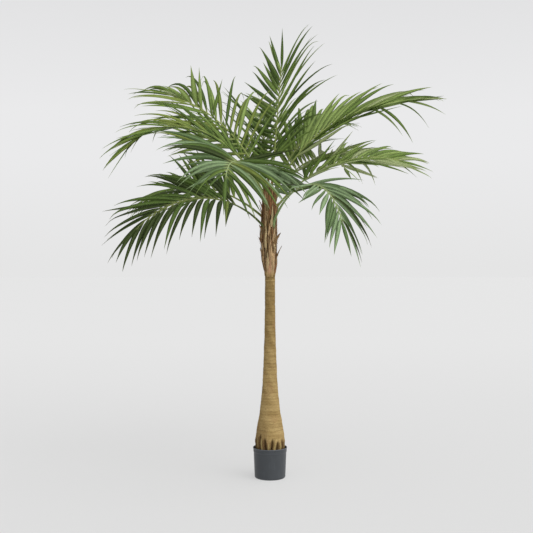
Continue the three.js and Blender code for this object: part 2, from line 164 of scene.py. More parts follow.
# Single leaflets that stand out of their frond: the frond, the share of its rib
# they leave at, their slope in the upright plane across the view and how far
# they come forward in degrees, length, bow downwards, width, turn about their
# own length in degrees and their green.
STRAYS = (
    ("upper_right", 0.84, -25, 10, 298, 1.45, 17, 35, "middle"),
    ("upper_right", 0.80, -24, 14, 250, 1.1, 14, 50, "light"),
    ("upper_right", 0.93, -4, 6, 262, 1.7, 11, 65, "middle"),
    ("upper_right", 1.0, -4, 0, 250, 0.6, 13, 55, "light"),
    ("right", 0.66, -4, 12, 212, 3.4, 15, 40, "pale"), ("right", 0.58, -8, 16, 186, 2.7, 13, 50, "light"),
    ("right", 0.93, -28, 8, 190, 0.4, 10, 60, "middle"), ("right", 0.45, 52, 10, 262, 0.0, 19, 30, "pale"),
    ("right", 0.55, 36, 8, 240, 0.3, 20, 30, "light"), ("right", 0.40, 44, 4, 250, 0.3, 18, 35, "light"),
    ("upper_left", 0.80, 98, 8, 226, 0.0, 34, 5, "light"),
    ("upper_left", 0.76, 93, 6, 232, 0.0, 24, 25, "light"),
    ("upper_left", 0.66, 76, 8, 216, 0.1, 21, 30, "middle"),
    ("upper_left", 0.86, 118, 12, 128, 0.9, 27, 5, "light"),
    ("upper_left", 0.90, 132, 12, 148, 0.7, 26, 8, "light"),
    ("upper_left", 0.94, 148, 10, 130, 0.5, 23, 10, "pale"),
    ("left", 0.80, 196, 10, 98, 5.0, 12, 45, "olive"), ("left", 0.98, 214, 10, 108, 4.0, 12, 45, "middle"),
    ("left", 0.94, 226, 6, 158, 0.4, 14, 40, "olive"),
    ("front_left", 0.86, 208, 14, 232, 0.1, 33, 10, "pale_blue"),
    ("front_left", 0.80, 170, 10, 262, 0.7, 24, 20, "blue"),
    ("front_left", 0.84, 188, 12, 236, 0.4, 24, 15, "pale_blue"),
    ("front_left", 0.74, 160, 8, 292, 0.9, 22, 25, "pale_blue"),
    ("front_left", 0.90, 262, 12, 168, 0.1, 24, 20, "blue"),
    ("front_left", 0.60, 14, 4, 300, 0.1, 20, 25, "dark"),
    ("front_left", 0.66, 2, 6, 306, 0.3, 22, 20, "deep"),
    ("front_left", 0.50, 24, 0, 250, 0.5, 18, 30, "deep"),
    ("low_left", 0.74, 182, 14, 350, 0.2, 27, 10, "dark"),
    ("low_left", 0.46, 158, 14, 410, 1.1, 24, 20, "dark"),
    ("left", 0.88, 206, 8, 150, 2.0, 10, 40, "olive"), ("right", 0.29, 66, 8, 140, 0.0, 24, 20, "deep"),
    ("right", 0.33, 56, 6, 250, 0.1, 20, 30, "middle"),
)

# A rib: the radius it starts at from the axis, the bare share before the
# leaflets, its steps, and its own radius at the stalk, the neck and the tip.
RIB = {"start": 20, "bare": 0.28, "steps": 48, "stalk": 9, "neck": 6.5, "tip": 3.4}

# Shares of the eight greens in each kind of frond, in a second row for the right
# hand where it differs, and the kinds whose midribs are alike.
# The greens are copies of one leaf green, middle, in different light: light and pale are painted light, deep
# and dark painted shade, pale_blue and blue a painted bluish reflection, olive an olive tint.
GREENS = ("light", "middle", "deep", "pale_blue", "blue", "dark", "olive", "pale")
SHARES = {
    "clear": (0.12, 0.50, 0.38, 0.0, 0.0, 0.0, 0.0, 0.0),
    "bright": (0.25, 0.30, 0.20, 0.0, 0.0, 0.0, 0.25, 0.0),
    "olive": (0.0, 0.30, 0.20, 0.0, 0.0, 0.0, 0.38, 0.12),
    "sunny": (0.58, 0.30, 0.0, 0.0, 0.0, 0.0, 0.0, 0.12),
    "pale": (0.25, 0.27, 0.0, 0.0, 0.0, 0.0, 0.0, 0.48),
    "fresh": (0.28, 0.46, 0.26, 0.0, 0.0, 0.0, 0.0, 0.0),
    "mixed": ((0.04, 0.20, 0.36, 0.12, 0.10, 0.14, 0.04, 0.0),
              (0.0, 0.06, 0.14, 0.38, 0.36, 0.04, 0.02, 0.0)),
    "bluish": (0.0, 0.0, 0.0, 0.40, 0.46, 0.14, 0.0, 0.0),
    "shade": (0.0, 0.0, 0.22, 0.0, 0.0, 0.73, 0.05, 0.0),
}
RIBS = {"fresh": ("clear", "bright", "olive", "sunny", "pale", "fresh"),
        "bluish": ("mixed", "bluish"), "deep": ("shade",)}

# A blade's half width along a leaflet: narrow root, broad middle, long fine tip.
BLADE_ALONG = np.array([0, 0.04, 0.10, 0.19, 0.30, 0.41, 0.52, 0.63, 0.73, 0.82, 0.90, 0.96])
BLADE_WIDTH = np.array([0.26, 0.40, 0.64, 0.88, 1.0, 0.98, 0.88, 0.72, 0.53, 0.34, 0.18, 0.08])
BLADE_STEPS = 24

FROND_NODES = sorted(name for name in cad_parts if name.startswith("frond_"))


# --------------------------------------------------------------- small maths

def mix(a, b, t):
    """A straight share between a and b: all a at 0, all b at 1."""
    return a + (b - a) * t


def smooth(x):
    """Zero below 0, one above 1, and three x squared less two x cubed between."""
    t = np.clip(x, 0.0, 1.0)
    return t * t * (3 - 2 * t)


def chance(n):
    """The same number between 0 and 1 for the same n: the fraction left by a large sine."""
    x = np.sin(np.asarray(n, float) * 12.9898) * 43758.5453
    return x - np.floor(x)


def unit(v):
    """Each vector divided by its length."""
    return v / np.maximum(np.linalg.norm(v, axis=-1, keepdims=True), 1e-12)


def turned(v, axis, angle):
    """Vectors turned about unit axes by angles.

    The cosine share, the sine share of the cross product, and the part along
    the axis kept.
    """
    c, s = np.cos(angle)[..., None], np.sin(angle)[..., None]
    return v * c + np.cross(axis, v) * s + axis * np.sum(axis * v, -1, keepdims=True) * (1 - c)


def polar(radius, azimuth, z):
    """Points at a radius and azimuth in radians round the upright axis, at heights z."""
    radius, azimuth, z = np.broadcast_arrays(radius, azimuth, z)
    return np.stack([radius * np.cos(azimuth), radius * np.sin(azimuth), z], -1)


def radius_at(profile, z):
    """Radius at a height: a cubic between neighbouring points of the profile.

    Its slope at each point is the mean of the slopes on the two sides.
    """
    zs, rs = np.array(profile, float).T
    slope = np.diff(rs) / np.diff(zs)
    mean = np.concatenate([slope[:1], (slope[:-1] + slope[1:]) / 2, slope[-1:]])
    i = np.clip(np.searchsorted(zs, z) - 1, 0, len(zs) - 2)
    h = zs[i + 1] - zs[i]
    t = np.clip((z - zs[i]) / h, 0, 1)
    return ((2 * t ** 3 - 3 * t ** 2 + 1) * rs[i] + (t ** 3 - 2 * t ** 2 + t) * h * mean[i]
            + (3 * t ** 2 - 2 * t ** 3) * rs[i + 1] + (t ** 3 - t ** 2) * h * mean[i + 1])


def wander(a, z, seed, around=3, up=0.02):
    """A slow random swell between about -1 and 1.

    Five sines of whole turns round the axis and of the height, with phases
    from chance.
    """
    total, cycle = 0.0, 6.28
    for k in range(5):
        turns = np.round(1 + around * chance(seed + k))
        rate = up * (0.5 + 1.5 * chance(seed + 10 + k))
        total = total + np.sin(turns * a + rate * z * cycle + cycle * chance(seed + 20 + k))
    return total / 3.2


def ring_angles(sides):
    """Azimuths of even steps round a ring."""
    return np.arange(sides) * 2 * np.pi / sides


def pole(z):
    """A point on the upright axis, as the end of a single tube."""
    return np.array([[0, 0, z]])


# -------------------------------------------------------------------- meshes

def tubes(name, rings, first, last, marks=None, uv=None, sharp=None):
    """Closed tubes as one mesh.

    rings has the shape tubes, rings, sides, 3, and runs anticlockwise seen
    against the tube's direction. Neighbouring rings are joined by quads, and
    the end rings by triangles to the poles first and last, so all is closed
    and faces outwards. marks are named numbers for every ring point, uv is a
    pair for every ring point, and edges sharper than sharp degrees stay crisp.
    """
    count, rows, sides, _ = rings.shape
    per = rows * sides + 2
    points = np.concatenate([rings.reshape(count, rows * sides, 3), first[:, None], last[:, None]], 1)
    j = np.arange(sides)
    k = (j + 1) % sides
    row = (np.arange(rows - 1) * sides)[:, None]
    quads = np.stack([row + j, row + k, row + sides + k, row + sides + j], -1).reshape(-1, 4)
    top = (rows - 1) * sides
    fans = np.concatenate([np.stack([k, j, np.full(sides, per - 2)], -1),
                           np.stack([top + j, top + k, np.full(sides, per - 1)], -1)])
    step = (np.arange(count) * per)[:, None, None]
    quads = (quads[None] + step).reshape(-1, 4)
    fans = (fans[None] + step).reshape(-1, 3)
    loops = np.concatenate([quads.ravel(), fans.ravel()])
    starts = np.concatenate([np.arange(len(quads)) * 4, len(quads) * 4 + np.arange(len(fans)) * 3])

    mesh = bpy.data.meshes.new(name)
    mesh.vertices.add(count * per)
    mesh.vertices.foreach_set("co", (points * MM).astype(np.float32).ravel())
    mesh.loops.add(len(loops))
    mesh.loops.foreach_set("vertex_index", loops.astype(np.int32))
    mesh.polygons.add(len(starts))
    mesh.polygons.foreach_set("loop_start", starts.astype(np.int32))
    mesh.update(calc_edges=True)

    def spread(values):
        flat = np.asarray(values, float).reshape(count, rows * sides, -1)
        ends = np.stack([flat[:, :sides].mean(1), flat[:, -sides:].mean(1)], 1)
        return np.concatenate([flat, ends], 1).reshape(count * per, -1)

    for mark, values in (marks or {}).items():
        layer = mesh.attributes.new(mark, "FLOAT", "POINT")
        layer.data.foreach_set("value", spread(values).astype(np.float32).ravel())
    if uv is not None:
        layer = mesh.uv_layers.new(name="blade")
        layer.uv.foreach_set("vector", spread(uv)[loops].astype(np.float32).ravel())
    mesh.shade_smooth()
    if sharp is not None:
        mesh.set_sharp_from_angle(angle=np.radians(sharp))
    if mesh.validate():
        raise RuntimeError(f"the mesh of {name} has faults")
    return mesh


def place(name, mesh, material, slot, *nodes):
    """Puts a mesh in the scene as a piece that rides on the plant and stands for the solids."""
    piece = bpy.data.objects.new(name, mesh)
    bpy.context.scene.collection.objects.link(piece)
    mesh.materials.append(material)
    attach(piece, "root")
    if nodes:
        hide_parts(*nodes)
    return piece


def lathe(profile, sides):
    """A profile of radius and height turned round the upright axis, one ring for each point."""
    a = ring_angles(sides)
    r, z = np.array(profile, float).T
    return polar(r[:, None], a[None], z[:, None])[None]


def rounded(cx, cz, radius, start, end, steps):
    """Points on an arc of a circle, from one angle to another."""
    a = np.radians(np.linspace(start, end, steps + 1))
    return [(cx + radius * np.cos(x), cz + radius * np.sin(x)) for x in a]


# ----------------------------------------------------------------- materials

def paint(red, green, blue):
    """A screen colour of three parts from 0 to 255 as the linear colour that a shader takes."""
    c = np.array([red, green, blue], float) / 255
    return tuple(np.where(c <= 0.04045, c / 12.92, ((c + 0.055) / 1.055) ** 2.4).tolist())


class Val:
    """A number's socket in a node tree. Sums, differences and products of it add Math nodes."""

    def __init__(self, finish, socket):
        self.finish, self.socket = finish, socket

    def math(self, operation, *others):
        return self.finish.node("ShaderNodeMath", {"operation": operation}, dict(enumerate((self, *others))))

    def __add__(self, other):
        return self.math("ADD", other)

    __radd__ = __add__

    def __mul__(self, other):
        return self.math("MULTIPLY", other)

    __rmul__ = __mul__

    def __sub__(self, other):
        return self.math("SUBTRACT", other)

    def __rsub__(self, other):
        return (self * -1.0) + other

    def eased(self, low, high, start=0.0, end=1.0):
        """From start at low to end at high, smooth between."""
        return self.finish.node("ShaderNodeMapRange", {"interpolation_type": "SMOOTHSTEP"},
                                {0: self, 1: low, 2: high, 3: start, 4: end})


class Finish:
    """The nodes of a material or of the world, built from expressions."""

    def __init__(self, owner):
        owner.use_nodes = True
        self.owner, self.tree = owner, owner.node_tree
        self.tree.nodes.clear()

    def end(self, kind, result):
        """Links a shader to the output of this kind."""
        self.put(self.tree.nodes.new(kind).inputs[0], result)

    def put(self, socket, value):
        """Links a socket to a value's socket, or sets its number or colour."""
        if isinstance(value, Val):
            self.tree.links.new(value.socket, socket)
        elif isinstance(value, tuple) and socket.type == "RGBA":
            socket.default_value = (*value, 1.0)
        else:
            socket.default_value = value

    def node(self, kind, settings=None, sockets=None, out=0):
        """Any node: its type, its settings, its sockets' values or links. Gives one output."""
        node = self.tree.nodes.new(kind)
        for key, value in (settings or {}).items():
            setattr(node, key, value)
        for key, value in (sockets or {}).items():
            self.put(node.inputs[key], value)
        return Val(self, node.outputs[out])

    def here(self, x=1.0, y=1.0, z=1.0):
        """The place on the object in metres, stretched by a factor on each axis."""
        at = self.node("ShaderNodeTexCoord", out="Object")
        return self.node("ShaderNodeVectorMath", {"operation": "MULTIPLY"}, {0: at, 1: (x, y, z)})

    def noise(self, where, scale=1.0, detail=3.0, rough=0.55):
        """A soft random field from 0 to 1."""
        return self.node("ShaderNodeTexNoise", None,
                         {"Vector": where, "Scale": scale, "Detail": detail, "Roughness": rough})

    def mark(self, name):
        """A number kept on the mesh's points."""
        return self.node("ShaderNodeAttribute", {"attribute_name": name}, out="Fac")

    def blend(self, a, b, share):
        """A colour between a and b by a share."""
        return self.node("ShaderNodeMix", {"data_type": "RGBA", "clamp_factor": True},
                         {0: share, 6: a, 7: b}, out=2)

    def layers(self, base, *coats):
        """A colour with each coat's colour laid over it by its share, in turn."""
        for over, share in coats:
            base = self.blend(base, over, share)
        return base

    def bump(self, height, depth, strength=1.0, normal=None):
        """A surface normal from a height field, depth in metres."""
        sockets = {"Strength": strength, "Distance": depth, "Height": height}
        if normal is not None:
            sockets["Normal"] = normal
        return self.node("ShaderNodeBump", None, sockets)

    def finish(self, colour, roughness=None, normal=None):
        """Feeds the shader and gives the material."""
        self.put(self.shader.inputs["Base Color"], colour)
        if roughness is not None:
            self.put(self.shader.inputs["Roughness"], roughness)
        if normal is not None:
            self.put(self.shader.inputs["Normal"], normal)
        return self.owner


def skin(name, roughness, specular):
    """A new material that ends in one Principled shader."""
    f = Finish(bpy.data.materials.new(name))
    f.shader = f.tree.nodes.new("ShaderNodeBsdfPrincipled")
    f.put(f.shader.inputs["Roughness"], roughness)
    f.put(f.shader.inputs["Specular IOR Level"], specular)
    f.end("ShaderNodeOutputMaterial", Val(f, f.shader.outputs[0]))
    return f


def dim(colour, factor):
    """A linear colour made darker or lighter by a factor."""
    return tuple(c * factor for c in colour)


def pot_plastic(colour, edge):
    """Satin moulded plastic: mottled slate with faint upright scuffs, and a painted highlight of the edge
    colour along the rim's top and the band's lower edge, where the mark edge says.
    """
    f = skin("pot_plastic", 0.42, 0.45)
    cloud = f.noise(f.here(), 22.0, 4.0)
    scuff = f.noise(f.here(160, 160, 9), 1.0, 3.0).eased(0.56, 0.78)
    # The mark edge times the cloud is a painted highlight on the rim's top and the band's lower edge.
    edge_highlight = (f.mark("edge") * (0.45 + cloud * 0.9)).math("MINIMUM", 1.0)
    base = f.blend(dim(colour, 0.86), dim(colour, 1.12), cloud)
    base = f.layers(base, (edge, scuff * 0.12), (edge, edge_highlight * 0.75))
    grain = f.noise(f.here(), 1500.0, 2.0)
    return f.finish(base, 0.34 + cloud * 0.16 + scuff * 0.1, f.bump(grain, 0.00025, 0.25))


def fill_grit(colour):
    """Black grit: dark grains of two tones with a rough broken surface."""
    f = skin("cement_fill", 0.95, 0.15)
    grain = f.noise(f.here(), 420.0, 3.0)
    base = f.blend(dim(colour, 0.5), dim(colour, 2.4), grain.eased(0.35, 0.8))
    return f.finish(base, 0.97 - grain * 0.12, f.bump(grain, 0.002, 0.8))


def trunk_coat(light, middle, dark, reddish):
    """Moulded bark: tan and olive rings with painted shade in their grooves, reddish patches and a woven
    grain.

    The marks groove, gap and flank darken it with painted shade, flank also with a darker patch low on the
    front left; crest makes it paler with a painted highlight, and tone makes it paler.
    """
    f = skin("trunk_skin", 0.85, 0.15)
    patch = f.noise(f.here(1, 1, 0.7), 15.0, 3.0)
    band = f.noise(f.here(9, 9, 120), 1.0, 2.0)
    weft = f.noise(f.here(70, 70, 520), 1.0, 2.0)
    warp = f.noise(f.here(420, 420, 60), 1.0, 2.0)
    speck = f.noise(f.here(1, 1, 1.5), 190.0, 4.0, 0.7)
    groove, gap, tone, crest = (f.mark(name) for name in ("groove", "gap", "tone", "crest"))
    weave = weft * 0.6 + warp * 0.4
    base = f.blend(middle, light, (band * 0.45 + tone * 0.4 + weave * 0.55 - 0.25).eased(0.15, 0.75))
    base = f.layers(base, (reddish, patch.eased(0.54, 0.74) * 0.4),
                    (dim(middle, 0.5), speck.eased(0.47, 0.70) * 0.8),
                    (light, (1.0 - speck).eased(0.56, 0.75) * 0.45),
                    # groove, flank and gap lay painted shade on the bark, crest a painted highlight.
                    (dark, (groove * 0.52).math("MINIMUM", 0.8)),
                    (dim(dark, 1.1), f.mark("flank") * (0.25 + 0.9 * speck)),
                    (paint(190, 176, 116), crest.eased(0.35, 0.95) * (0.15 + 0.6 * weave)),
                    (dim(dark, 0.9), gap.eased(0.2, 1.0) * 0.9))
    relief = f.bump(weave, 0.0016, 0.8)
    relief = f.bump(speck, 0.001, 0.6, relief)
    return f.finish(base, 0.88 - tone * 0.1, relief)


def fibre_coat(name, light, dark):
    """Dry palm fibre: fine upright threads between two tones, darker where the mark edge says: painted shade
    in the core's furrows, and on the strips and loose fibres frayed darker to the edges and the tip.
    """
    rough = 0.88
    f = skin(name, rough, 0.2)
    thread = f.noise(f.here(420, 420, 16), 1.0, 3.0)
    blotch = f.noise(f.here(1, 1, 0.35), 46.0, 3.0)
    edge = f.mark("edge")
    base = f.blend(dark, light, (thread * 0.75 + blotch * 0.55).eased(0.42, 0.86))
    # Darker by the mark edge: painted shade in the core's furrows, and fraying on the strips and fibres.
    base = f.blend(base, dim(dark, 0.45), (edge * (0.35 + thread)).eased(0.35, 1.1) * 0.8)
    up = f.node("ShaderNodeSeparateXYZ", None, {0: f.here()}, out=2)
    base = f.blend(base, paint(150, 126, 78), (1.0 - up.eased(1.086, 1.118)) * 0.7)
    return f.finish(base, rough, f.bump(thread, 0.0012, 0.8))


def leaf_coat(name, colour, tip):
    """A printed leaf under a soft sheen: one green with slow clouds and lengthwise streaks.

    It is pale at its root, with a painted highlight along its middle and painted shade to its edges.
    """
    f = skin(name, 0.6, 0.16)
    at = f.node("ShaderNodeSeparateXYZ", None, {0: f.node("ShaderNodeTexCoord", out="UV")})
    across, along = at, Val(f, at.socket.node.outputs[1])
    cloud = f.noise(f.here(), 11.0, 3.0)
    fleck = f.noise(f.here(), 160.0, 3.0)
    grain = f.node("ShaderNodeCombineXYZ", None, {0: across * 7.0, 1: along * 1.6, 2: cloud * 9.0})
    streak = f.noise(grain, 1.0, 2.0)
    veins = (across * 44.0).math("SINE") * 0.5 + 0.5
    aside = (across - 0.5).math("ABSOLUTE") * 2.0
    base = f.blend(dim(colour, 0.86), dim(colour, 1.18), cloud.eased(0.3, 0.7))
    pale = tuple(min(1.0, c * 1.5 + 0.02) for c in colour)
    # A painted highlight along the blade's middle and painted shade towards its edges.
    base = f.layers(base, (pale, (1.0 - aside.eased(0.05, 0.5)) * 0.55),
                    (dim(colour, 0.5), aside.eased(0.42, 0.95) * 0.85),
                    (dim(colour, 0.52), streak.eased(0.5, 0.72) * 0.55),
                    (dim(colour, 0.75), veins * 0.18),
                    (paint(166, 172, 108), (1.0 - along.eased(0.0, 0.12)) * 0.45),
                    (tip, along.eased(0.72, 1.0) * 0.45),
                    (dim(colour, 0.7), fleck.eased(0.6, 0.8) * 0.25))
    return f.finish(base, 0.54 + cloud * 0.16, f.bump(veins + streak, 0.0005, 0.5))


def stalk_coat(name, stalk, rib):
    """Stalk and midrib: olive at the foot, paler along the rib, with faint streaks and small dark scars."""
    f = skin(name, 0.5, 0.22)
    streak = f.noise(f.here(260, 260, 40), 1.0, 3.0)
    scar = f.noise(f.here(), 130.0, 3.0).eased(0.62, 0.74)
    base = f.blend(stalk, rib, f.mark("along").eased(0.12, 0.5))
    base = f.blend(base, dim(stalk, 0.62), streak.eased(0.45, 0.8) * 0.6)
    base = f.blend(base, paint(104, 80, 50), scar * 0.35 + f.mark("foot") * 0.9)
    return f.finish(base, 0.46 + streak * 0.18, f.bump(streak, 0.0006, 0.6))


# ------------------------------------------------------------------ settings

def length(name, description, default):
    """A size for the sidebar, given in millimetres and kept in metres."""
    return bpy.props.FloatProperty(name=name, description=description, default=default * MM,
                                   subtype="DISTANCE", unit="LENGTH", precision=4)


def amount(name, description, default, low, high):
    """A whole number for the sidebar."""
    return bpy.props.IntProperty(name=name, description=description, default=default, min=low, max=high)


def colour(name, description, *screen):
    """A colour for the sidebar, given as a screen colour."""
    return bpy.props.FloatVectorProperty(name=name, description=description, default=paint(*screen),
                                         subtype="COLOR", size=3, min=0.0, max=1.0)


class PotSettings(bpy.types.PropertyGroup):
    """Sizes and colours of the nursery pot and its filling."""
    height: length("Height", "From the floor to the rim's top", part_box("pot")[1].z / MM)
    rim_radius: length("Rim radius", "Outside radius of the rim band", 91.5)
    foot_radius: length("Foot radius", "Outside radius at the floor", 82.4)
    rim_band: length("Rim band", "Height of the thicker band under the rim", 24)
    rim_step: length("Rim step", "How far the band stands off the wall", 0.9)
    rim_bead: length("Rim bead", "How far the bead along the rim stands off the band", 1.7)
    foot_round: length("Foot rounding", "Radius of the round between floor and wall", 9)
    wall: length("Wall", "Thickness of the wall", 2.6)
    lip: length("Lip", "Rounding of the rim's top edge", 1.3)
    body: colour("Plastic", "Colour of the plastic", 59, 63, 67)
    # The edge colour paints the highlight on the rim's top and the band's lower edge, and also the faint
    # scuffs.
    edge: colour("Edge highlight and scuff", "Colour of its edges", 112, 117, 126)
    grit: colour("Grit", "Colour of the filling", 22, 20, 18)


class TrunkSettings(bpy.types.PropertyGroup):
    """Relief and colours of the trunk."""
    ring_pitch: length("Ring pitch", "Mean height of one ring", 18)
    ring_depth: length("Ring depth", "Depth of the grooves between rings", 0.9)
    root_depth: length("Root depth", "Depth of the gaps between the root fingers", 14)
    collar: length("Collar height", "Height of the thin line under the fibre sheath", 1061)
    light: colour("Light bark", "Colour of the lit rings", 186, 160, 108)
    middle: colour("Bark", "Main colour", 143, 118, 71)
    # Dark bark is the colour of the painted shade in the ring grooves, between the root fingers and on their
    # flanks.
    dark: colour("Dark bark", "Colour of the grooves", 88, 66, 40)
    reddish: colour("Reddish bark", "Colour of the patches", 158, 120, 84)


class SheathSettings(bpy.types.PropertyGroup):
    """Counts and colours of the dry leaf bases."""
    strips: amount("Strips", "Dry strips laid on the sheath", 130, 8, 240)
    hairs: amount("Fibres", "Loose fibres on the sheath", 620, 0, 1500)
    core: colour("Under fibre", "Colour between the strips", 96, 72, 46)
    tan: colour("Tan strip", "Pale dry strips", 212, 178, 134)
    pink: colour("Pink strip", "Pinkish dry strips", 204, 160, 124)
    bark: colour("Brown strip", "Brown strips", 142, 112, 74)
    rust: colour("Rust strip", "Reddish strips", 138, 96, 63)
    straw: colour("Straw strip", "Yellowish strips", 218, 194, 146)


class FrondSettings(bpy.types.PropertyGroup):
    """Counts, shape and greens of the fronds."""
    pairs: amount("Leaflet pairs", "Pairs of leaflets on a frond", 17, 6, 30)
    width: length("Leaflet width", "Widest part of a leaflet", 26)
    turn: bpy.props.FloatProperty(name="Blade turn", description="Turn of a leaflet about its own length",
                                  default=np.radians(15), subtype="ANGLE", unit="ROTATION")
    # The greens paint light on one leaf green: light and pale are painted light, deep and dark painted
    # shade, pale_blue and blue a painted bluish reflection.
    light: colour("Light green", "Sunlit young leaflets", 132, 153, 83)
    middle: colour("Green", "Most leaflets", 104, 127, 58)
    deep: colour("Deep green", "Older leaflets", 78, 100, 42)
    pale_blue: colour("Pale bluish green", "Pale leaflets of the front fronds", 127, 150, 107)
    blue: colour("Bluish green", "Leaflets of the front fronds", 93, 116, 71)
    dark: colour("Dark green", "Leaflets of the low fronds", 56, 70, 29)
    olive: colour("Olive green", "Dry leaflets among the others", 116, 131, 60)
    pale: colour("Pale green", "Leaflets that the light has bleached", 156, 168, 118)
    # The bluish stalk and midrib carry the front fronds' painted bluish reflection, the deep ones the low
    # frond's painted shade.
    fresh_stalk: colour("Fresh stalk", "Stalks of the fresh fronds near the sheath", 116, 130, 68)
    fresh_rib: colour("Fresh midrib", "Midribs of the fresh fronds", 150, 164, 94)
    bluish_stalk: colour("Bluish stalk", "Stalks of the front fronds near the sheath", 126, 146, 94)
    bluish_rib: colour("Bluish midrib", "Midribs of the front fronds", 148, 166, 112)
    deep_stalk: colour("Deep stalk", "Stalk of the low frond near the sheath", 72, 84, 40)
    deep_rib: colour("Deep midrib", "Midrib of the low frond", 128, 140, 78)


class StageSettings(bpy.types.PropertyGroup):
    """Camera, floor and light."""
    distance: length("Camera distance", "From the plant's axis to the camera", 4690)
    level: length("Camera height", "Height of the level camera", 1135)
    aside: length("Camera aside", "Sideways place of the camera", -19)
    lens: bpy.props.FloatProperty(name="Lens", description="Focal length", default=58.8,
                                  subtype="DISTANCE_CAMERA", min=1.0)
    floor: colour("Floor", "Colour of the studio floor", 142, 142, 142)
    glow: colour("Floor glow", "The floor's own light under the plant, against hard shadows", 181, 181, 181)
    glow_far: colour("Far floor glow", "Light of the floor's own far behind the plant", 189, 189, 189)
    horizon: colour("Horizon", "Colour where the floor ends", 229, 229, 229)
    backdrop: colour("Backdrop", "Colour behind the plant", 234, 234, 235)
    above: colour("Above", "Colour over the plant", 225, 225, 226)
    key: bpy.props.FloatProperty(name="Key light", description="Strength of the soft key light",
                                 default=0.9, min=0.0)
    fill: bpy.props.FloatProperty(name="Fill light", description="Strength of the light from all round",
                                  default=1.0, min=0.0)


GROUPS = {"palm_pot": PotSettings, "palm_trunk": TrunkSettings, "palm_sheath": SheathSettings,
          "palm_fronds": FrondSettings, "palm_stage": StageSettings}


# ----------------------------------------------------------- pot and filling

def pot_mesh(s):
    """The pot's wall turned from one closed profile: foot, wall, rim band, lip, inner wall and floor."""
    height, rim, foot = s.height / MM, s.rim_radius / MM, s.foot_radius / MM
    band, step, bead, bend = s.rim_band / MM, s.rim_step / MM, s.rim_bead / MM, s.foot_round / MM
    wall, lip = s.wall / MM, s.lip / MM

    def taper(z):
        return foot + (rim - bead - step - foot) * z / height

    def straight(r0, z0, r1, z1, steps):
        return list(zip(np.linspace(r0, r1, steps), np.linspace(z0, z1, steps)))

    shell = [(foot - bend - 14, 1.6), (foot - bend - 12, 0.2), (foot - bend - 6, 0.0)]
    shell += rounded(taper(bend) - bend, bend, bend, -86, 0, 10)
    shell += straight(taper(bend + 2), bend + 2, taper(height - band - 1), height - band - 1, 14)
    shell += [(taper(height - band) + 0.2, height - band - 0.2), (rim - bead - 0.45, height - band + 0.7),
              (rim - bead - 0.1, height - band + 1.7)]
    shell += straight(rim - bead - 0.1, height - band + 3, rim - bead, height - 9.5, 4)
    shell += [(rim - bead + 0.3, height - 8.2), (rim - 0.5, height - 6.6), (rim - 0.1, height - 5.6),
              (rim, height - 3.6)]
    shell += rounded(rim - lip, height - lip, lip, 10, 170, 6)
    inner = taper(height) - wall + 0.4
    shell += straight(inner, height - 3.4, taper(bend + 4) - wall, bend + 4, 12)
    shell += rounded(taper(bend) - bend, bend + 0.4, bend - wall, -4, -86, 6)
    shell += [(20.0, 3.0)]
    rings = lathe(shell, 128)
    r, z = np.array(shell).T

    # The mark edge is a painted highlight along the rim's top and, fainter, on the band's lower edge, kept
    # to the outer points.
    def edge_highlight(at, reach):
        return smooth(1 - np.abs(z - at) / reach)

    near = np.maximum.reduce([edge_highlight(height - 1, 2.2), 0.35 * edge_highlight(height - band + 0.8, 1.8),
                              0.35 * edge_highlight(5, 6)])
    edge = np.broadcast_to((near * (r > inner - 1))[:, None], rings.shape[1:3])
    return tubes("pot_shell", rings, pole(1.6), pole(3.0), {"edge": edge}, sharp=40)


def fill_mesh():
    """The filling: a tapered plug whose top is a bed of grains, each point raised by its own chance."""
    sides, outer = 168, 6
    profile = [(40, 3.4), (68, 3.4), (76.5, 14.5), (78.5, 60), (80.6, 110), (84.4, 136)]
    profile += [(r, 140 - 3.2 * smooth((r - 60) / 22)) for r in np.linspace(82.6, 30, 26)]
    rings = lathe(profile, sides)
    bed = rings[0, outer:]
    n = np.arange(bed.size // 3).reshape(bed.shape[:2])
    bed[..., 2] += 2.4 * (chance(n) - 0.75)
    bed[..., 0] += 1.2 * (chance(n + 0.37) - 0.5)
    bed[..., 1] += 1.2 * (chance(n + 0.71) - 0.5)
    return tubes("fill_top", rings, pole(3.4), pole(139.0), sharp=60)


# -------------------------------------------------------------------- trunk

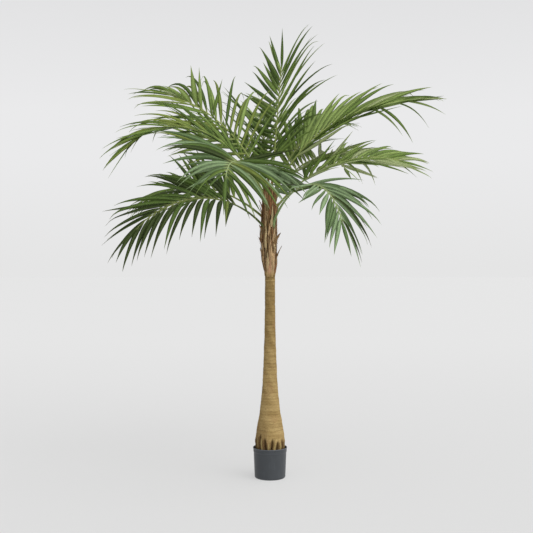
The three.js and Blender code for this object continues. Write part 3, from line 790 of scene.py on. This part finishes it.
def trunk_surface(a, z, s):
    """Radius of the trunk, and its marks, at azimuths and heights.

    The profile, less a gap between neighbouring root fingers that deepens to
    the foot, less a narrow groove at every ring's edge and shallow cords
    between. A ring's height and the depth of its groove come from chance, and
    rings fade out where the roots start. A thin raised line closes the rings
    under the sheath. The marks groove and gap carry painted shade into the ring
    grooves and between the root fingers, crest a painted highlight on the roots'
    backs, and flank painted shade on their sides and at the root zone's left and
    right edges, and a darker patch on the trunk's front left low down.
    """
    count, pitch, depth, line_z = ROOTS["count"], s.ring_pitch / MM, s.ring_depth / MM, s.collar / MM
    finger = (a * count + ROOTS["phase"] + ROOTS["wander"] * np.sin(3 * a + z / 24)
              + 0.4 * np.sin(5 * a - z / 30))
    hill, dale = (1 - np.cos(finger)) / 2, (1 + np.cos(finger)) / 2
    which = np.mod(np.floor(finger / (2 * np.pi) + 0.5), count)
    top = ROOTS["top"] - 2 + 24 * (chance(which + 5) - 0.4) + 24 * smooth((np.cos(a - 4.0) - 0.86) / 0.14)
    down = smooth((top - z) / 30)
    # gap sinks the radius between the fingers, and the coat darkens it as painted shade.
    gap = dale ** (1.7 + 3.4 * chance(which + 11)) * down
    body = smooth((z - 216 - 10 * np.sin(a + 1)) / 30)

    turn = (z / pitch + 0.45 * np.sin(z / 61.0) + 0.1 * np.sin(z / 23.0) + 0.03 * np.sin(2 * a + z / 60)
            + 0.02 * np.sin(5 * a + z / 31))
    ring = np.floor(turn)
    share = turn - ring
    heavy = 0.55 + 0.6 * chance(np.where(share < 0.5, ring, ring + 1) + 0.5) ** 2
    plain = body * (1 - smooth((z - (line_z - 4)) / 4))
    # groove follows the grooves' depth; the coat darkens it as painted shade.
    groove = (np.exp(-(np.minimum(share, 1 - share) * pitch / 1.5) ** 2) * heavy * plain
              * np.clip(0.75 + 0.6 * wander(a, z, 55, 7, 0.012), 0.1, 1.3))
    cords = (0.5 - 0.5 * np.cos(8 * np.pi * turn)) * plain

    line = np.exp(-((z - line_z) / 2.2) ** 2)
    swell = 0.7 * wander(a, z, 3, 3, 0.006) + 0.35 * wander(a, z, 40, 9, 0.02)
    knuckle = (1 - body) * (2.0 * down * (1 - np.clip(gap * 1.5, 0, 1)) + 0.6 * wander(a, z, 71, 30, 0.03))
    radius = (radius_at(TRUNK_PROFILE, z) - s.root_depth / MM * gap - depth * groove + 0.4 * cords
              + 0.3 * plain * np.sin(np.pi * share) + swell * smooth((TRUNK_TOP - z) / 60) + knuckle
              + 1.3 * line)
    collar = smooth((z - line_z - 2) / 3)
    tone = np.clip(0.62 + 0.4 * (chance(ring * 7 + 3) - 0.5) + 0.25 * wander(a, z, 90, 4, 0.01) + line
                   - 0.42 * smooth((z - 480) / 420) - 0.9 * collar, 0, 1)
    near = smooth((top - 4 - z) / 32)
    # crest: a painted highlight along the fingers' backs near the foot.
    crest = hill ** 6 * near
    # flank: painted shade on the fingers' sides and where the root zone turns away at left and right, and a
    # darker patch low on the trunk's front left.
    sides = smooth((np.cos(a - 3.55) - 0.86) / 0.12) + 0.6 * smooth((np.cos(a + 0.28) - 0.93) / 0.06)
    left_dark = smooth((np.cos(a - 3.9) - 0.7) / 0.25) * smooth((330 - z) / 90)
    flank = np.clip((1 - 0.5 * hill ** 1.4) * near + 0.9 * sides * smooth((232 - z) / 50) + 0.45 * left_dark,
                    0, 1.2)
    return radius, {"groove": groove + 0.12 * (plain - cords) + 0.35 * collar, "gap": gap, "tone": tone,
                    "crest": crest, "flank": flank}


def trunk_mesh(s):
    """The trunk as rings of points up its height, closed by a pole at each end."""
    rows, sides = 660, 146
    z = np.linspace(ROOTS["foot"], TRUNK_TOP, rows)[:, None]
    a = ring_angles(sides)[None]
    radius, marks = trunk_surface(a + 0 * z, z + 0 * a, s)
    rings = polar(radius, a, z)[None]
    return tubes("trunk_skin", rings, pole(ROOTS["foot"]), pole(TRUNK_TOP), marks, sharp=70)


# ------------------------------------------------------------------- sheath

def sheath_radius(a, z):
    """Radius of the sheath: its profile with eight shallow upright strips that fade at both ends.

    It leans over to the left, with a swelling there.
    """
    ends = smooth((z - SHEATH_FOOT) / 60) * smooth((SHEATH_TOP - z) / 90)
    strip = np.cos(8 * (a + 0.0016 * (z - SHEATH_FOOT)) + 1.3 * np.sin(z / 90))
    lean = 5.0 * smooth((z - 1120) / 80) * smooth((SHEATH_TOP - z) / 60)
    swell = (lean + 4.0 * np.exp(-((z - 1290) / 42) ** 2)) * np.cos(a - np.pi)
    return radius_at(SHEATH_PROFILE, z) + 2.4 * ends * strip * (0.6 + 0.4 * np.sin(3 * a + z / 60)) + swell


def core_mesh():
    """The sheath's core: its radius with narrow upright furrows, drawn in a little under the strips."""
    rows, sides = 170, 132
    z = np.linspace(SHEATH_FOOT, SHEATH_TOP, rows)[:, None]
    a = ring_angles(sides)[None]
    furrow = np.sin(31 * a + 2.2 * np.sin(z / 47) + z / 160) * 0.8 + wander(a, z, 12, 26, 0.012) * 1.1
    radius = (sheath_radius(a, z) - 1.6 * smooth((z - SHEATH_FOOT) / 30)
              + furrow * smooth((SHEATH_TOP - z) / 60))
    rings = polar(np.maximum(radius, 4), a, z)[None]
    # The mark edge grows as the furrow deepens: painted shade in the furrows.
    edge = np.clip(0.5 - furrow * 0.5, 0, 1) + 0 * z
    return tubes("sheath_core", rings, pole(SHEATH_FOOT), pole(SHEATH_TOP + 1.5), {"edge": edge}, sharp=60)


def strip_list(s):
    """All dry strips: the named ones, which stand furthest off, and the rest by golden angles up the sheath.

    The sizes of the rest come from chance.
    """
    golden_angle = 137.5
    i = np.arange(s.strips)
    share = i / (s.strips - 1)
    low = chance(i + 300) < 0.62 - 0.75 * share
    pick = chance(i + 340)
    tone = np.where(low, np.where(pick < 0.5, "tan", np.where(pick < 0.72, "pink", "straw")),
                    np.where(pick < 0.7, "bark", np.where(pick < 0.84, "rust", "tan")))
    rest = zip((golden_angle * i + 24) % 360, mix(1079.0, 1478.0, share ** 0.92),
               110 + 120 * chance(i + 3) * (1 - 0.45 * share), 5 + 10 * chance(i + 9) ** 1.6,
               0.5 + 5.5 * chance(i + 21) ** 3, tone)
    loose = [(*row, 0.6 + 1.8 * chance(k + 60.3)) for k, row in enumerate(rest)]
    return [(*row, 3.2) for row in TORN_STRIPS] + loose


def strip_tubes(strips):
    """Flat tubes that hug the sheath: a lens section carried up and wrapped round the axis.

    Each narrows to a torn tip that leans out by the square of its way.
    """
    azimuth, height, long_, width, lean, stand = (
        np.array([row[k] for row in strips], float)[:, None, None] for k in (0, 1, 2, 3, 4, 6))
    n = np.arange(len(strips))[:, None, None] + np.round(height)
    t = np.concatenate([np.linspace(0, 0.86, 13), [0.92, 0.97]])[None, :, None]
    phi = ring_angles(10)[None, None]
    z = height + long_ * t
    ragged = 1 + 0.16 * np.sin(t * 17 + n) + 0.10 * np.sin(t * 31 + 2.3 * n)
    half = width / 2 * (0.55 + 0.45 * smooth(t / 0.18)) * (1 - t ** 1.6) ** 0.75 * ragged
    thick = (0.8 + 1.5 * (1 - t)) * (0.75 + 0.5 * chance(n))
    a0 = np.radians(azimuth + 9 * (chance(n + 0.4) - 0.5) * t + 3 * np.sin(5 * t + n))
    across, out = half * np.sin(phi), thick * np.cos(phi)
    base = (sheath_radius(a0, np.maximum(z, SHEATH_FOOT)) + stand - 1.2 * (1 - smooth(t / 0.12))
            + lean * t ** 2)
    cup = 0.12 * across ** 2 / np.maximum(half, 1) * np.sign(lean - 6) * t
    radius = base + out + cup
    a = a0 + across / np.maximum(radius_at(SHEATH_PROFILE, z), 18)
    rings = polar(radius, a, z)
    tip_z = (height + long_)[:, 0, 0]
    tip = polar((base[:, -1:] + lean * 0.05)[:, 0, 0], a0[:, -1, 0], tip_z)
    root = rings[:, 0].mean(1)
    edge = np.abs(np.sin(phi)) ** 6 * 0.8 + 0.9 * smooth((t - 0.7) / 0.3) + 0.15 * (1 - smooth(t / 0.12))
    return rings, root, tip, np.broadcast_to(np.clip(edge, 0, 1.2), rings.shape[:3])


def hair_tubes(s):
    """Loose fibres: thin threads up the sheath that wave sideways and spring out towards their ends."""
    n = np.arange(s.hairs)[:, None, None]
    t = np.linspace(0, 1, 8)[None, :, None]
    phi = ring_angles(3)[None, None]
    long_ = 30 + 110 * chance(n + 0.15) ** 1.5
    z = 1092 + 430 * chance(n + 0.3) + long_ * t
    a = np.radians(360 * chance(n + 0.6) + 26 * (chance(n + 0.9) - 0.5) * t + 5 * np.sin(6 * t + n))
    spring = (1.5 + 15 * chance(n + 0.21) ** 5) * t ** 2
    base = sheath_radius(a, np.minimum(z, SHEATH_TOP)) + 1.8 + spring
    size = (0.32 + 0.4 * chance(n + 0.45)) * (1 - 0.6 * t)
    rings = polar(base + size * np.cos(phi), a + size * np.sin(phi) / 36, z)
    edge = np.broadcast_to(0.2 + 0.4 * t + 0 * phi, rings.shape[:3])
    return rings, rings[:, 0].mean(1), rings[:, -1].mean(1), edge


# ------------------------------------------------------------------- fronds

def rib_axes(f, t):
    """Directions at shares t of a rib: along it, to the blade's left and up from the blade.

    The climb goes from rise to fall with a power of t, the heading swings, and
    the level sideways direction is rolled about the rib.
    """
    t = np.clip(t, 0, None)
    climb = np.radians(mix(f["rise"], f["fall"], t ** f["bend"]))
    heading = np.radians(f["azimuth"] + f["swing"] * t ** 1.5)
    along = np.stack([np.cos(climb) * np.cos(heading), np.cos(climb) * np.sin(heading), np.sin(climb)], -1)
    level = np.stack([-np.sin(heading), np.cos(heading), 0 * heading], -1)
    inner = np.clip((t - RIB["bare"]) / (1 - RIB["bare"]), 0, 1)
    left = turned(level, along, np.radians(f["roll"] + f["twist"] * (inner - 0.5)))
    return along, left, np.cross(along, left)


def rib_points(f, t):
    """Places at shares t of a rib: the sum of the short steps along it, straight between two steps."""
    steps = RIB["steps"]
    along, _, _ = rib_axes(f, (np.arange(steps) + 0.5) / steps)
    a = np.radians(f["azimuth"])
    start = np.array([RIB["start"] * np.cos(a), RIB["start"] * np.sin(a), f["height"]])
    path = start + np.concatenate([np.zeros((1, 3)), np.cumsum(along * f["length"] / steps, 0)])
    where = np.clip(t, 0, 1) * steps
    return np.stack([np.interp(where, np.arange(steps + 1), path[:, k]) for k in range(3)], -1)


def rib_radius(t):
    """Radius of a rib: from the stalk's to the neck's on the bare part, then to the tip's."""
    bare = RIB["bare"]
    return np.where(t < bare, mix(RIB["stalk"], RIB["neck"], np.clip(t, 0, 1) / bare),
                    mix(RIB["neck"], RIB["tip"], (t - bare) / (1 - bare)))


def stalk_tubes(greens):
    """The stalks and midribs of the fronds with these greens.

    An oval section with a flattened channel on top is carried along the rib.
    Below the rib's start it runs down the sheath as a broad thin base, kept
    outside the sheath's radius by a soft maximum, and ends under the strips.
    """
    all_rings, first, last, alongs, feet = [], [], [], [], []
    phi = ring_angles(12)
    for f in (f for f in FRONDS if f["greens"] in greens):
        foot = 26 + 22 * chance(f["azimuth"])
        s = np.concatenate([np.linspace(-foot, 0, 16)[:-1], np.linspace(0, f["length"], 72)])
        t = s / f["length"]
        at = rib_points(f, t)
        at[:, 2] += np.minimum(s, 0)
        reach = np.hypot(at[:, 0], at[:, 1])
        heading = np.arctan2(at[:, 1], at[:, 0])
        high = at[:, 2]
        bed = (np.where(high < SHEATH_TOP, sheath_radius(heading, np.minimum(high, SHEATH_TOP)), 0) + 2.5
               - 5 * smooth((-s - foot + 30) / 30))
        clear = high >= SHEATH_TOP + 30
        out = 0.5 * (reach + bed + np.sqrt((reach - bed) ** 2 + 60)) * ~clear + reach * clear
        at[:, 0], at[:, 1] = out * np.cos(heading), out * np.sin(heading)
        way = unit(np.gradient(at, axis=0))
        _, left, _ = rib_axes(f, t)
        level = np.stack([-np.sin(heading), np.cos(heading), 0 * heading], -1)
        left = mix(level, left, smooth(s / 150)[:, None])
        left = unit(left - way * np.sum(left * way, -1, keepdims=True))
        up = np.cross(way, left)
        base = smooth(-s / foot * 0.9 + 0.25)
        wide = mix(mix(0.86, 0.72, smooth(t / 0.5)) * rib_radius(t), 9.0, base)
        thick = mix(mix(0.9, 0.7, smooth(t / 0.5)) * rib_radius(t), 2.6, base)
        edge = np.sin(phi)
        channel = np.where(edge > 0, 0.62, 1.0) * edge
        rings = (at[:, None] + left[:, None] * (wide[:, None] * np.cos(phi))[..., None]
                 + up[:, None] * (thick[:, None] * channel)[..., None])
        all_rings.append(rings)
        first.append(at[0] - way[0] * 6)
        last.append(at[-1] + way[-1] * 2)
        alongs.append(np.broadcast_to(t[:, None], rings.shape[:2]))
        brown = 16 if f["name"] == "low_right" else 50
        feet.append(np.broadcast_to(smooth((brown - s) / 34)[:, None], rings.shape[:2]))
    return tuple(np.array(x) for x in (all_rings, first, last, alongs, feet))


def leaflet_seats(s):
    """Seats of the leaflets on a rib: pairs at even steps, staggered by a quarter, and one at the end."""
    step = (1 - RIB["bare"]) / s.pairs
    i = np.repeat(np.arange(s.pairs), 2)
    hand = np.tile([1.0, -1.0], s.pairs)
    t = RIB["bare"] + step * (i + 0.5 + 0.25 * hand)
    return np.append(t, 1.0), np.append(hand, 0.0)


def frond_leaflets(f, t, hand, s):
    """The leaflets of one frond as blades that taper to a fine tip.

    A leaflet leaves the rib at an angle that narrows towards the rib's end,
    and each short step turns further down by the droop times a power of its
    way. The frond's habit opens, lifts and bends either hand more or less, and
    angles, droop, width, twist and a hook at the tip vary by chance.
    """
    u = (np.arange(BLADE_STEPS) + 0.5) / BLADE_STEPS
    inner = (t - RIB["bare"]) / (1 - RIB["bare"])
    third = np.clip((3 * inner).astype(int), 0, 2)
    seeds = np.where(hand < 0, np.array(f["seeds_right"])[third], np.array(f["seeds_left"])[third])
    n = np.arange(len(t)) + 100.0 * seeds
    at = rib_points(f, t)
    along, left, up = rib_axes(f, t)

    def habit(name):
        on_left, on_right = f[name + "_left"], f[name + "_right"]
        return np.select([hand > 0, hand < 0], [on_left, on_right], 0.5 * (on_left + on_right))

    angle = np.radians(mix(f["wide"], f["narrow"], inner ** 1.2) + habit("open") * (1 - 0.5 * inner)
                       + 13 * (chance(n) - 0.5))[:, None]
    lift = np.radians(f["lift"] + habit("raise") + 22 * (chance(n + 0.2) - 0.5))[:, None]
    out = left * hand[:, None] * np.cos(lift) + up * np.sin(lift)
    begin = np.where(hand[:, None] == 0, unit(along + 0.1 * up), along * np.cos(angle) + out * np.sin(angle))
    long_ = (f["leaf"] * (0.84 + 0.85 * inner - 1.12 * inner ** 2) * np.where(hand == 0, 0.9, 1)
             * (0.94 + 0.15 * chance(n + 0.7)) * (1 + 0.1 * inner ** 4) * habit("reach"))
    droop = (f["droop"] * habit("bow") * (0.6 + 0.65 * chance(n + 0.5)))[:, None]
    hook = (1.5 * f["droop"] * chance(n + 0.9) ** 4)[:, None]
    sink = (droop * u ** 1.3 + hook * smooth((u - 0.72) / 0.28) ** 2)[..., None]
    sweep = along[:, None] * (0.16 * chance(n + 0.33)[:, None] * u)[..., None]
    way = unit(begin[:, None] + DOWN * sink + sweep)
    flat = np.where(hand[:, None] == 0, left, left * hand[:, None])
    spin = (hand[:, None] * (s.turn + np.radians(habit("turn"))[:, None])
            + 0.5 * (chance(n + 0.61)[:, None] - 0.5)
            + BLADE_ALONG[None] * 0.9 * (chance(n + 0.77)[:, None] - 0.5))
    half = s.width / MM / 2 * (1 - 0.22 * inner ** 2) * (0.9 + 0.2 * chance(n + 0.13)) * habit("slim")
    rings, tips = blades(at, way, long_, up - 0.2 * flat, spin, half, chance(n + 0.4))
    spray = n if f["greens"] in RIBS["bluish"] else np.floor(n / 3) * 3
    pick = np.clip(0.5 * chance(np.floor(spray)) + 0.5 * chance(n + 0.05), 0, 0.9999)
    pick = np.where(pick < 0.5, 2 * pick ** 2, 1 - 2 * (1 - pick) ** 2)
    limits = np.cumsum(np.atleast_2d(SHARES[f["greens"]]), 1)[np.where(hand < 0, -1, 0)]
    return rings, at, tips, (limits[:, :-1] < pick[:, None]).sum(1)


def blades(at, way, long_, face, spin, half, crease):
    """Folded blades from their roots, step directions, lengths, up sides, turns, half widths and creases.

    The section has a raised crease, two side edges that drop by the fold and a
    crease below, and its width follows the blade's width table.
    """
    segments = way.shape[1]
    steps = np.cumsum(way * (long_ / segments)[:, None, None], 1)
    line = np.concatenate([np.zeros((len(at), 1, 3)), steps], 1) + at[:, None]
    place_at = BLADE_ALONG * segments
    low = np.clip(np.floor(place_at).astype(int), 0, segments - 1)
    rest = (place_at - low)[None, :, None]
    spot = line[:, low] * (1 - rest) + line[:, low + 1] * rest
    heading = way[:, low]
    face = face[:, None]
    face = unit(face - heading * np.sum(face * heading, -1, keepdims=True))
    face = turned(face, heading, spin)
    side = np.cross(heading, face)
    half = half[:, None] * BLADE_WIDTH[None]
    fold = half * (0.30 + 0.30 * (1 - smooth(BLADE_ALONG / 0.3))[None] + 0.22 * crease[:, None])
    deep = (0.55 + 1.1 * (1 - BLADE_ALONG) ** 2)[None]
    half, fold, deep = half[..., None], fold[..., None], deep[..., None]
    rings = np.stack([spot + face * deep, spot + side * half - face * fold,
                      spot - face * deep, spot - side * half - face * fold], 2)
    return rings, line[:, -1]


def stray_leaflets():
    """The single leaflets: each starts at its slope and turns down by its bow times a power of its way."""
    u = (np.arange(BLADE_STEPS) + 0.5) / BLADE_STEPS
    named = {f["name"]: f for f in FRONDS}
    at = np.concatenate([rib_points(named[row[0]], np.array([row[1]])) for row in STRAYS])
    slope, near, long_, bow, width, spin = np.array([row[2:8] for row in STRAYS], float).T
    slope, near, spin = np.radians(slope), np.radians(near), np.radians(spin)
    begin = np.stack([np.cos(slope) * np.cos(near), -np.sin(near), np.sin(slope) * np.cos(near)], -1)
    way = unit(begin[:, None] + DOWN * (bow[:, None] * u ** 1.3)[..., None])
    face = np.broadcast_to([0.0, -1.0, 0.35], at.shape)
    n = np.arange(len(STRAYS))
    spin = spin[:, None] + 0.3 * BLADE_ALONG[None]
    rings, tips = blades(at, way, long_, face, spin, width / 2, chance(n + 0.4))
    return rings, at, tips, np.array([GREENS.index(row[8]) for row in STRAYS])


def leaflet_tubes(s):
    """The leaflets of all fronds, their tones, and their places across and along the blade.

    A leaflet whose tip would pass the frame's box by more than half of 3% of
    the side plus 10 mm is drawn in towards its root until it doesn't.
    """
    t, hand = leaflet_seats(s)
    sets = [frond_leaflets(f, t, hand, s) for f in FRONDS] + [stray_leaflets()]
    rings, roots, tips, tones = (np.concatenate(x) for x in zip(*sets))
    low, high = (np.array(corner) / MM for corner in CAD_BOX)
    side_share, extra = 0.015, 5
    spare = side_share * (high - low) + extra
    reach = tips - roots
    short = np.abs(reach) < 1
    share = np.where(reach > 0, high + spare - roots, low - spare - roots) / np.where(short, 1, reach)
    share = np.clip(np.where(short, 1, share).min(-1), 0.5, 1)[:, None]
    tips = roots + reach * share
    rings = roots[:, None, None] + (rings - roots[:, None, None]) * share[..., None, None]
    across = np.array([0.5, 1.0, 0.5, 0.0])
    uv = np.broadcast_to(np.stack(np.meshgrid(across, BLADE_ALONG), -1)[None], rings.shape[:3] + (2,))
    return rings, roots, tips, tones, uv


# ---------------------------------------------------------------- operators

class PALM_OT_pot(bpy.types.Operator):
    """Builds the nursery pot"""
    bl_idname = "palm.pot"
    bl_label = "Nursery pot"

    def execute(self, context):
        s = context.scene.palm_pot
        place("pot_shell", pot_mesh(s), pot_plastic(tuple(s.body), tuple(s.edge)), "pot_plastic", "pot")
        return {"FINISHED"}


class PALM_OT_filling(bpy.types.Operator):
    """Builds the pot's filling"""
    bl_idname = "palm.filling"
    bl_label = "Pot filling"

    def execute(self, context):
        s = context.scene.palm_pot
        place("fill_top", fill_mesh(), fill_grit(tuple(s.grit)), "cement_fill", "pot_fill")
        return {"FINISHED"}


class PALM_OT_trunk(bpy.types.Operator):
    """Builds the ringed trunk with its root fingers"""
    bl_idname = "palm.trunk"
    bl_label = "Ringed trunk"

    def execute(self, context):
        s = context.scene.palm_trunk
        coat = trunk_coat(tuple(s.light), tuple(s.middle), tuple(s.dark), tuple(s.reddish))
        place("trunk_bark", trunk_mesh(s), coat, "trunk_skin", "trunk")
        return {"FINISHED"}


class PALM_OT_sheath(bpy.types.Operator):
    """Builds the sheath's core, its dry strips by tone and its loose fibres"""
    bl_idname = "palm.sheath"
    bl_label = "Fibre sheath"

    def execute(self, context):
        s = context.scene.palm_sheath
        core = fibre_coat("sheath_core", tuple(s.core), dim(s.core, 0.45))
        place("sheath_core", core_mesh(), core, "palm_fibre", "fibre_sheath")
        strips = strip_list(s)
        for tone in ("tan", "pink", "bark", "rust", "straw"):
            rings, first, last, edge = strip_tubes([row for row in strips if row[5] == tone])
            shade = tuple(getattr(s, tone))
            coat = fibre_coat(f"strip_{tone}", shade, dim(shade, 0.42))
            mesh = tubes(f"strips_{tone}", rings, first, last, {"edge": edge}, sharp=70)
            place(f"strips_{tone}", mesh, coat, "palm_fibre", "fibre_sheath")
        rings, first, last, edge = hair_tubes(s)
        mesh = tubes("loose_fibres", rings, first, last, {"edge": edge})
        coat = fibre_coat("fibre_hair", dim(s.bark, 1.1), dim(s.bark, 0.5))
        place("loose_fibres", mesh, coat, "palm_fibre", "fibre_sheath")
        return {"FINISHED"}


class PALM_OT_stalks(bpy.types.Operator):
    """Builds the stalks and midribs of all fronds, joined by their green"""
    bl_idname = "palm.stalks"
    bl_label = "Stalks and midribs"

    def execute(self, context):
        s = context.scene.palm_fronds
        for name, slot in (("fresh", "frond_green"), ("bluish", "frond_blue"), ("deep", "frond_shade")):
            rings, first, last, along, foot = stalk_tubes(RIBS[name])
            mesh = tubes(f"ribs_{name}", rings, first, last, {"along": along, "foot": foot}, sharp=60)
            stalk, rib = tuple(getattr(s, f"{name}_stalk")), tuple(getattr(s, f"{name}_rib"))
            place(f"ribs_{name}", mesh, stalk_coat(f"stalk_{name}", stalk, rib), slot, *FROND_NODES)
        return {"FINISHED"}


class PALM_OT_leaflets(bpy.types.Operator):
    """Builds the leaflets of all fronds, joined by their green"""
    bl_idname = "palm.leaflets"
    bl_label = "Leaflets"

    def execute(self, context):
        s = context.scene.palm_fronds
        rings, roots, tips, tones, uv = leaflet_tubes(s)
        slots = {"pale_blue": "frond_blue", "blue": "frond_blue",
                 "deep": "frond_shade", "dark": "frond_shade"}
        for k, green in enumerate(GREENS):
            own = tones == k
            if not own.any():
                raise RuntimeError(f"no leaflet is {green}")
            shade = tuple(getattr(s, green))
            tip = tuple(0.75 * c + 0.25 * d for c, d in zip(shade, paint(150, 140, 80)))
            mesh = tubes(f"leaflets_{green}", rings[own], roots[own], tips[own], uv=uv[own], sharp=18)
            coat = leaf_coat(f"leaf_{green}", shade, tip)
            place(f"leaflets_{green}", mesh, coat, slots.get(green, "frond_green"), *FROND_NODES)
        return {"FINISHED"}


class PALM_OT_stage(bpy.types.Operator):
    """Builds the floor, the light and the camera"""
    bl_idname = "palm.stage"
    bl_label = "Studio stage"

    def execute(self, context):
        s = context.scene.palm_stage
        scene = context.scene
        corners = 96
        mesh = bpy.data.meshes.new("studio_floor")
        mesh.from_pydata(polar(90.0, ring_angles(corners), 0.0).tolist(), [], [list(range(corners))])
        floor = bpy.data.objects.new("studio_floor", mesh)
        scene.collection.objects.link(floor)
        f = skin("studio_floor", 0.9, 0.05)
        cloud = f.noise(f.here(), 0.6, 2.0)
        away = f.node("ShaderNodeSeparateXYZ", None, {0: f.here()}, out=1)
        glow = f.blend(tuple(s.glow), tuple(s.glow_far), away.eased(-2.0, 9.0))
        f.put(f.shader.inputs["Emission Color"], glow)
        f.put(f.shader.inputs["Emission Strength"], 1.0)
        mesh.materials.append(f.finish(f.blend(dim(s.floor, 0.985), tuple(s.floor), cloud)))

        air = Finish(bpy.data.worlds.new("studio_air"))
        sky = air.node("ShaderNodeTexCoord", out="Generated")
        slope = air.node("ShaderNodeVectorMath", {"operation": "DOT_PRODUCT"},
                         {0: sky, 1: (0.65, -0.44, 0.62)}, out="Value")
        light = slope.eased(-0.6, 1.0, 0.09 * s.fill, 1.22 * s.fill)
        rise = air.node("ShaderNodeSeparateXYZ", None, {0: sky}, out=2)
        fade = air.node("ShaderNodeMapRange", None, {0: rise, 2: 0.12})
        crest = air.node("ShaderNodeMapRange", None, {0: rise, 1: 0.17, 2: 0.31})
        shown = air.layers(tuple(s.horizon), (tuple(s.backdrop), fade), (tuple(s.above), crest))
        around = air.node("ShaderNodeBackground", None, {0: (1.0, 1.0, 1.0), 1: light})
        seen = air.node("ShaderNodeBackground", None, {0: shown})
        ray = air.node("ShaderNodeLightPath", out="Is Camera Ray")
        pick = air.node("ShaderNodeMixShader", None, {0: ray, 1: around, 2: seen})
        air.end("ShaderNodeOutputWorld", pick)
        scene.world = air.owner

        lamp = bpy.data.lights.new("key_light", "SUN")
        lamp.energy, lamp.angle = s.key, np.radians(50)
        key = bpy.data.objects.new("key_light", lamp)
        key.rotation_euler = (np.radians(30), np.radians(34), 0)
        scene.collection.objects.link(key)

        lens = bpy.data.cameras.new("studio_camera")
        lens.lens, lens.sensor_width, lens.clip_end = s.lens, 36.0, 300.0
        camera = bpy.data.objects.new("studio_camera", lens)
        camera.location = (s.aside, -s.distance, s.level)
        camera.rotation_euler = (np.radians(90), 0, 0)
        scene.collection.objects.link(camera)
        scene.camera = camera
        scene.view_settings.view_transform = "Standard"
        return {"FINISHED"}


class PALM_PT_build(bpy.types.Panel):
    """Lists the builders and their sizes"""
    bl_label = "Majesty palm"
    bl_idname = "PALM_PT_build"
    bl_space_type = "VIEW_3D"
    bl_region_type = "UI"
    bl_category = "Palm"

    def draw(self, context):
        for operator in OPERATORS:
            self.layout.operator(operator.bl_idname)
        for group, kind in GROUPS.items():
            box = self.layout.box()
            for name in kind.__annotations__:
                box.prop(getattr(context.scene, group), name)


OPERATORS = (PALM_OT_stage, PALM_OT_pot, PALM_OT_filling, PALM_OT_trunk, PALM_OT_sheath,
             PALM_OT_stalks, PALM_OT_leaflets)


def register():
    """Adds the settings, the operators and the panel."""
    for kind in (*GROUPS.values(), *OPERATORS, PALM_PT_build):
        bpy.utils.register_class(kind)
    for name, kind in GROUPS.items():
        setattr(bpy.types.Scene, name, bpy.props.PointerProperty(type=kind))


def unregister():
    """Takes them away again."""
    for name in GROUPS:
        delattr(bpy.types.Scene, name)
    for kind in (PALM_PT_build, *reversed(OPERATORS), *reversed(list(GROUPS.values()))):
        bpy.utils.unregister_class(kind)


def main():
    """Builds every piece in order."""
    register()
    bpy.ops.palm.stage()
    bpy.ops.palm.pot()
    bpy.ops.palm.filling()
    bpy.ops.palm.trunk()
    bpy.ops.palm.sheath()
    bpy.ops.palm.stalks()
    bpy.ops.palm.leaflets()


if __name__ == "__main__":
    main()
